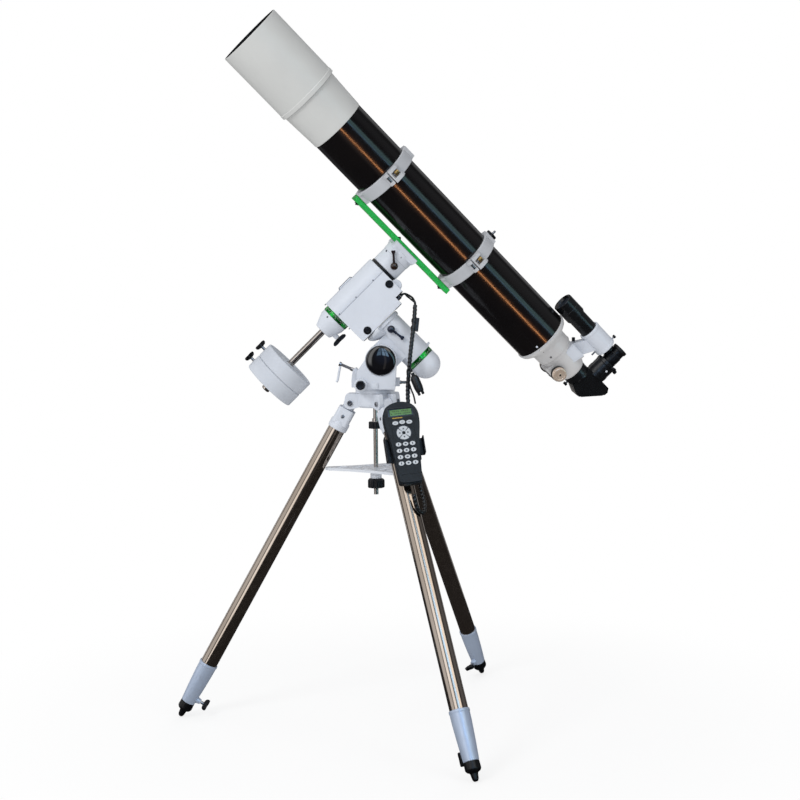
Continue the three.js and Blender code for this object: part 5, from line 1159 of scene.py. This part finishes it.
# strap and keeper on the lead bundle
b = Bld()
q0, q1 = Vector((102, -58, 1050)), Vector((106, -46, 1085))
bz = (q1 - q0).normalized()
bx = Vector((0, -1, 0)).cross(bz).normalized()
b.prism(rrect(-13.5, -3.5, -7, 7, 2, 4), 0, 34, basis(bx, bz.cross(bx), bz, q0), m_blk)
b.lathe([(3, 5.4), (3, 7.1), (11, 7.1), (11, 5.4)], basis(bx, bz.cross(bx), bz, q0), m_cord, 40)
b.lathe([(23, 5.4), (23, 7.1), (31, 7.1), (31, 5.4)], basis(bx, bz.cross(bx), bz, q0), m_cord, 40)
b.make('lead_strap', 'leg_front', bevel=0.6)

# ---- floor and light -------------------------------------------------------------------------------------
fm = bpy.data.materials.new('floor_pale')
fm.use_nodes = True
ft = fm.node_tree
fb = ft.nodes['Principled BSDF']
ftc = ft.nodes.new('ShaderNodeTexCoord')
fn = ft.nodes.new('ShaderNodeTexNoise')
fn.inputs['Scale'].default_value = 3.0
fr = ft.nodes.new('ShaderNodeValToRGB')
fr.color_ramp.elements[0].color = (0.86, 0.86, 0.86, 1)
fr.color_ramp.elements[1].color = (0.90, 0.90, 0.90, 1)
ft.links.new(ftc.outputs['Object'], fn.inputs['Vector'])
ft.links.new(fn.outputs['Fac'], fr.inputs['Fac'])
ft.links.new(fr.outputs['Color'], fb.inputs['Base Color'])
fb.inputs['Roughness'].default_value = 0.9
fb.inputs['Specular IOR Level'].default_value = 0.0
fe = ft.nodes.new('ShaderNodeEmission')
fe.inputs['Strength'].default_value = 1.0
fl_ = ft.nodes.new('ShaderNodeVectorMath')
fl_.operation = 'LENGTH'
ft.links.new(ftc.outputs['Object'], fl_.inputs[0])
fmr = ft.nodes.new('ShaderNodeMapRange')
fmr.interpolation_type = 'SMOOTHSTEP'
fmr.inputs['From Min'].default_value = 0.55
fmr.inputs['From Max'].default_value = 1.5
fmr.inputs['To Min'].default_value = 0.78
ft.links.new(fl_.outputs['Value'], fmr.inputs['Value'])
fx = ft.nodes.new('ShaderNodeMixShader')
ft.links.new(fmr.outputs['Result'], fx.inputs[0])
ft.links.new(fb.outputs[0], fx.inputs[1])
ft.links.new(fe.outputs[0], fx.inputs[2])
fd = ft.nodes.new('ShaderNodeEmission')
fd.inputs['Color'].default_value = (0.030, 0.028, 0.028, 1)
flp = ft.nodes.new('ShaderNodeLightPath')
fy = ft.nodes.new('ShaderNodeMixShader')
ft.links.new(flp.outputs['Is Glossy Ray'], fy.inputs[0])
ft.links.new(fx.outputs[0], fy.inputs[1])
ft.links.new(fd.outputs[0], fy.inputs[2])
ft.links.new(fy.outputs[0], ft.nodes['Material Output'].inputs['Surface'])
me = bpy.data.meshes.new('floor')
k = 64
me.from_pydata([(0, 0, -0.0005)] + [(2.4 * math.cos(2 * math.pi * i / k), 2.4 * math.sin(2 * math.pi * i / k), -0.0005) for i in range(k)], [], [(0, 1 + i, 1 + (i + 1) % k) for i in range(k)])
me.materials.append(fm)
fo = bpy.data.objects.new('floor', me)
bpy.context.scene.collection.objects.link(fo)
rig.stage(fo)

# studio surround: even white to the eye and for soft light, softboxes and strips in reflections
world = bpy.data.worlds.new('studio')
bpy.context.scene.world = world
world.use_nodes = True
wt = world.node_tree
wt.nodes.clear()
wn_ = wt.nodes.new
wl = wt.links.new
wc = wn_('ShaderNodeTexCoord')
DIR = wc.outputs['Generated']


def dot(v):
    n_ = wn_('ShaderNodeVectorMath')
    n_.operation = 'DOT_PRODUCT'
    wl(DIR, n_.inputs[0])
    v = Vector(v).normalized()
    n_.inputs[1].default_value = v
    return n_.outputs['Value']


def math_(op, a, b=None):
    n_ = wn_('ShaderNodeMath')
    n_.operation = op
    for i, x_ in enumerate((a, b)):
        if x_ is None:
            continue
        if isinstance(x_, (int, float)):
            n_.inputs[i].default_value = x_
        else:
            wl(x_, n_.inputs[i])
    return n_.outputs[0]


def sstep(x_, lo_, hi_):
    n_ = wn_('ShaderNodeMapRange')
    n_.interpolation_type = 'SMOOTHSTEP'
    n_.inputs['From Min'].default_value = lo_
    n_.inputs['From Max'].default_value = hi_
    wl(x_, n_.inputs['Value'])
    return n_.outputs['Result']


def spot(v, a_out, a_in):
    return sstep(dot(v), math.cos(math.radians(a_out)), math.cos(math.radians(a_in)))


def band(v, along, half, soft, a_out, a_in):
    """a strip through direction v that runs towards 'along'"""
    v = Vector(v).normalized()
    m_ = v.cross(Vector(along)).normalized()
    d_ = math_('ABSOLUTE', dot(m_))
    f = math_('SUBTRACT', 1.0, sstep(d_, math.sin(math.radians(half)), math.sin(math.radians(half + soft))))
    return math_('MULTIPLY', f, spot(v, a_out, a_in))


acc = None


def glow(f, col, strength):
    global acc
    n_ = wn_('ShaderNodeVectorMath')
    n_.operation = 'SCALE'
    n_.inputs[0].default_value = [c_ * strength for c_ in col]
    wl(f, n_.inputs['Scale'])
    if acc is None:
        acc = n_.outputs[0]
    else:
        a_ = wn_('ShaderNodeVectorMath')
        a_.operation = 'ADD'
        wl(acc, a_.inputs[0])
        wl(n_.outputs[0], a_.inputs[1])
        acc = a_.outputs[0]


AXD = tube_dir
base_ = wn_('ShaderNodeCombineXYZ')
for i_ in range(3):
    base_.inputs[i_].default_value = (0.055, 0.055, 0.06)[i_]
acc = base_.outputs[0]
glow(sstep(dot((0, 0, 1)), 0.62, 0.97), (1, 1, 1), 0.55)                                   # overhead
glow(band((-0.49, -0.72, 0.48), (-0.06, -0.15, 1), 9, 7, 48, 30), (1, 1, 1), 1.8)         # left strip
glow(spot((-0.95, -0.10, 0.30), 34, 18), (1, 1, 1), 0.9)                                   # far left
glow(spot((0.96, 0.05, 0.28), 30, 14), (0.95, 0.97, 1), 0.13)                               # far right
glow(band((0.40, -0.46, 0.79), (0.1, 0.6, 1), 7, 8, 40, 24), (0.95, 0.86, 0.78), 0.30)     # warm upper right
glow(band((0.10, -0.93, 0.10), (0, 0, 1), 1.6, 1.6, 60, 40), (1, 0.9, 0.82), 0.25)          # thin upright strip
glow(band((0.780, -0.615, 0.118), AXD, 4.0, 3.0, 40, 20), (0.44, 0.80, 0.83), 1.5)         # cool window strip
glow(band((0.725, -0.690, 0.060), AXD, 0.8, 0.9, 40, 20), (0.36, 0.66, 1.0), 3.4)
glow(band((0.832, -0.535, 0.180), AXD, 1.0, 1.2, 40, 20), (0.50, 0.85, 0.86), 2.0)
# window with four panes, in front and above
sep = wn_('ShaderNodeSeparateXYZ')
wl(DIR, sep.inputs[0])
ny = math_('MAXIMUM', math_('MULTIPLY', sep.outputs['Y'], -1.0), 0.001)
wu = math_('DIVIDE', sep.outputs['X'], ny)
ww = math_('DIVIDE', sep.outputs['Z'], ny)


def inside(x_, lo_, hi_, e_=0.015):
    return math_('MULTIPLY', sstep(x_, lo_ - e_, lo_ + e_), math_('SUBTRACT', 1.0, sstep(x_, hi_ - e_, hi_ + e_)))


for u0_, u1_ in ((-0.15, -0.01), (0.03, 0.15), (0.18, 0.33)):
    for w0_, w1_ in ((0.13, 0.40), (0.45, 1.0)):
        glow(math_('MULTIPLY', inside(wu, u0_, u1_), inside(ww, w0_, w1_)), (0.44, 0.70, 1.0), 3.6 if u0_ > 0 else 2.0)
glow(spot((0.10, -0.90, 0.22), 26, 4), (0.20, 0.36, 0.85), 0.22)
glow(spot((0.44, -0.57, 0.69), 17, 9), (1.0, 0.95, 0.88), 1.7)
glow(band((0.50, 0.80, 0.33), (0, 0.1, 1), 8, 7, 55, 30), (1, 1, 1), 0.3)
glow(band((-0.66, 0.68, 0.30), (0, 0.1, 1), 6, 6, 50, 30), (1, 1, 1), 1.0)
glow(band((-0.1, 0.95, -0.2), (0, 0, 1), 3, 3, 50, 30), (1, 0.93, 0.86), 0.8)
bg_g = wn_('ShaderNodeBackground')
wl(acc, bg_g.inputs['Color'])
bg_d = wn_('ShaderNodeBackground')
mixd = wn_('ShaderNodeMix')
mixd.data_type = 'RGBA'
wl(sstep(dot((-0.42, -0.62, 0.66)), -0.6, 1.0), mixd.inputs['Factor'])
mixd.inputs['A'].default_value = (0.34, 0.335, 0.35, 1)
mixd.inputs['B'].default_value = (0.98, 0.99, 1.0, 1)
wl(mixd.outputs['Result'], bg_d.inputs['Color'])
bg_d.inputs['Strength'].default_value = 0.93
bg_c = wn_('ShaderNodeBackground')
bg_c.inputs['Color'].default_value = (1, 1, 1, 1)
lp = wn_('ShaderNodeLightPath')
mx1 = wn_('ShaderNodeMixShader')
wl(lp.outputs['Is Glossy Ray'], mx1.inputs[0])
wl(bg_d.outputs[0], mx1.inputs[1])
wl(bg_g.outputs[0], mx1.inputs[2])
mx2 = wn_('ShaderNodeMixShader')
wl(lp.outputs['Is Camera Ray'], mx2.inputs[0])
wl(mx1.outputs[0], mx2.inputs[1])
wl(bg_c.outputs[0], mx2.inputs[2])
wo = wn_('ShaderNodeOutputWorld')
wl(mx2.outputs[0], wo.inputs['Surface'])


def area(name, loc, target, sx, sy, power, col=(1, 1, 1), gloss=True):
    l = bpy.data.lights.new(name, 'AREA')
    l.shape = 'RECTANGLE'
    l.size, l.size_y, l.energy, l.color = sx, sy, power, col
    o = bpy.data.objects.new(name, l)
    bpy.context.scene.collection.objects.link(o)
    dirv = Vector(target) - Vector(loc)
    o.location = loc
    o.rotation_euler = dirv.to_track_quat('-Z', 'Y').to_euler()
    o.visible_camera = False
    o.visible_glossy = gloss
    return o


area('key', (-2.2, -2.6, 3.0), (0, 0, 1.0), 1.2, 1.0, 54, (1.0, 1.0, 1.0), False)
# a long amber strip that reaches the gloss tube alone
AMP = Vector((0.49, -1.0, 0.85))
amb = area('amber_strip', AMP - AXD * 0.16, (0.08, 0.02, 1.335), 0.06, 1.30, 4.4, (1.0, 0.42, 0.16))
amw = area('amber_halo', AMP, (0.08, 0.02, 1.335), 0.30, 2.1, 1.3, (1.0, 0.34, 0.12))
z_ = (Vector((0.49, -1.0, 0.85)) - Vector((0.08, 0.02, 1.335))).normalized()
y_ = (AXD - z_ * AXD.dot(z_)).normalized()
x_ = y_.cross(z_)
amb.rotation_euler = Matrix((x_, y_, z_)).transposed().to_euler()
amw.rotation_euler = Matrix((x_, y_, z_)).transposed().to_euler()
lc = bpy.data.collections.new('gloss_tube_only')
lc.objects.link(tube_ob)
amb.light_linking.receiver_collection = lc
amw.light_linking.receiver_collection = lc
area('fill', (2.8, -2.4, 2.0), (0, 0, 1.0), 1.2, 1.6, 14, (0.92, 0.96, 1.0), False)
area('back', (0.5, 3.0, 2.8), (0, 0, 1.0), 2.0, 1.0, 22, (1, 1, 1), False)

json.dump({'cad': [list(map(float, p)) for p in CAD_BOX], 'visual': [list(map(float, p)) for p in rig.bounds()]}, open('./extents.json', 'w'))
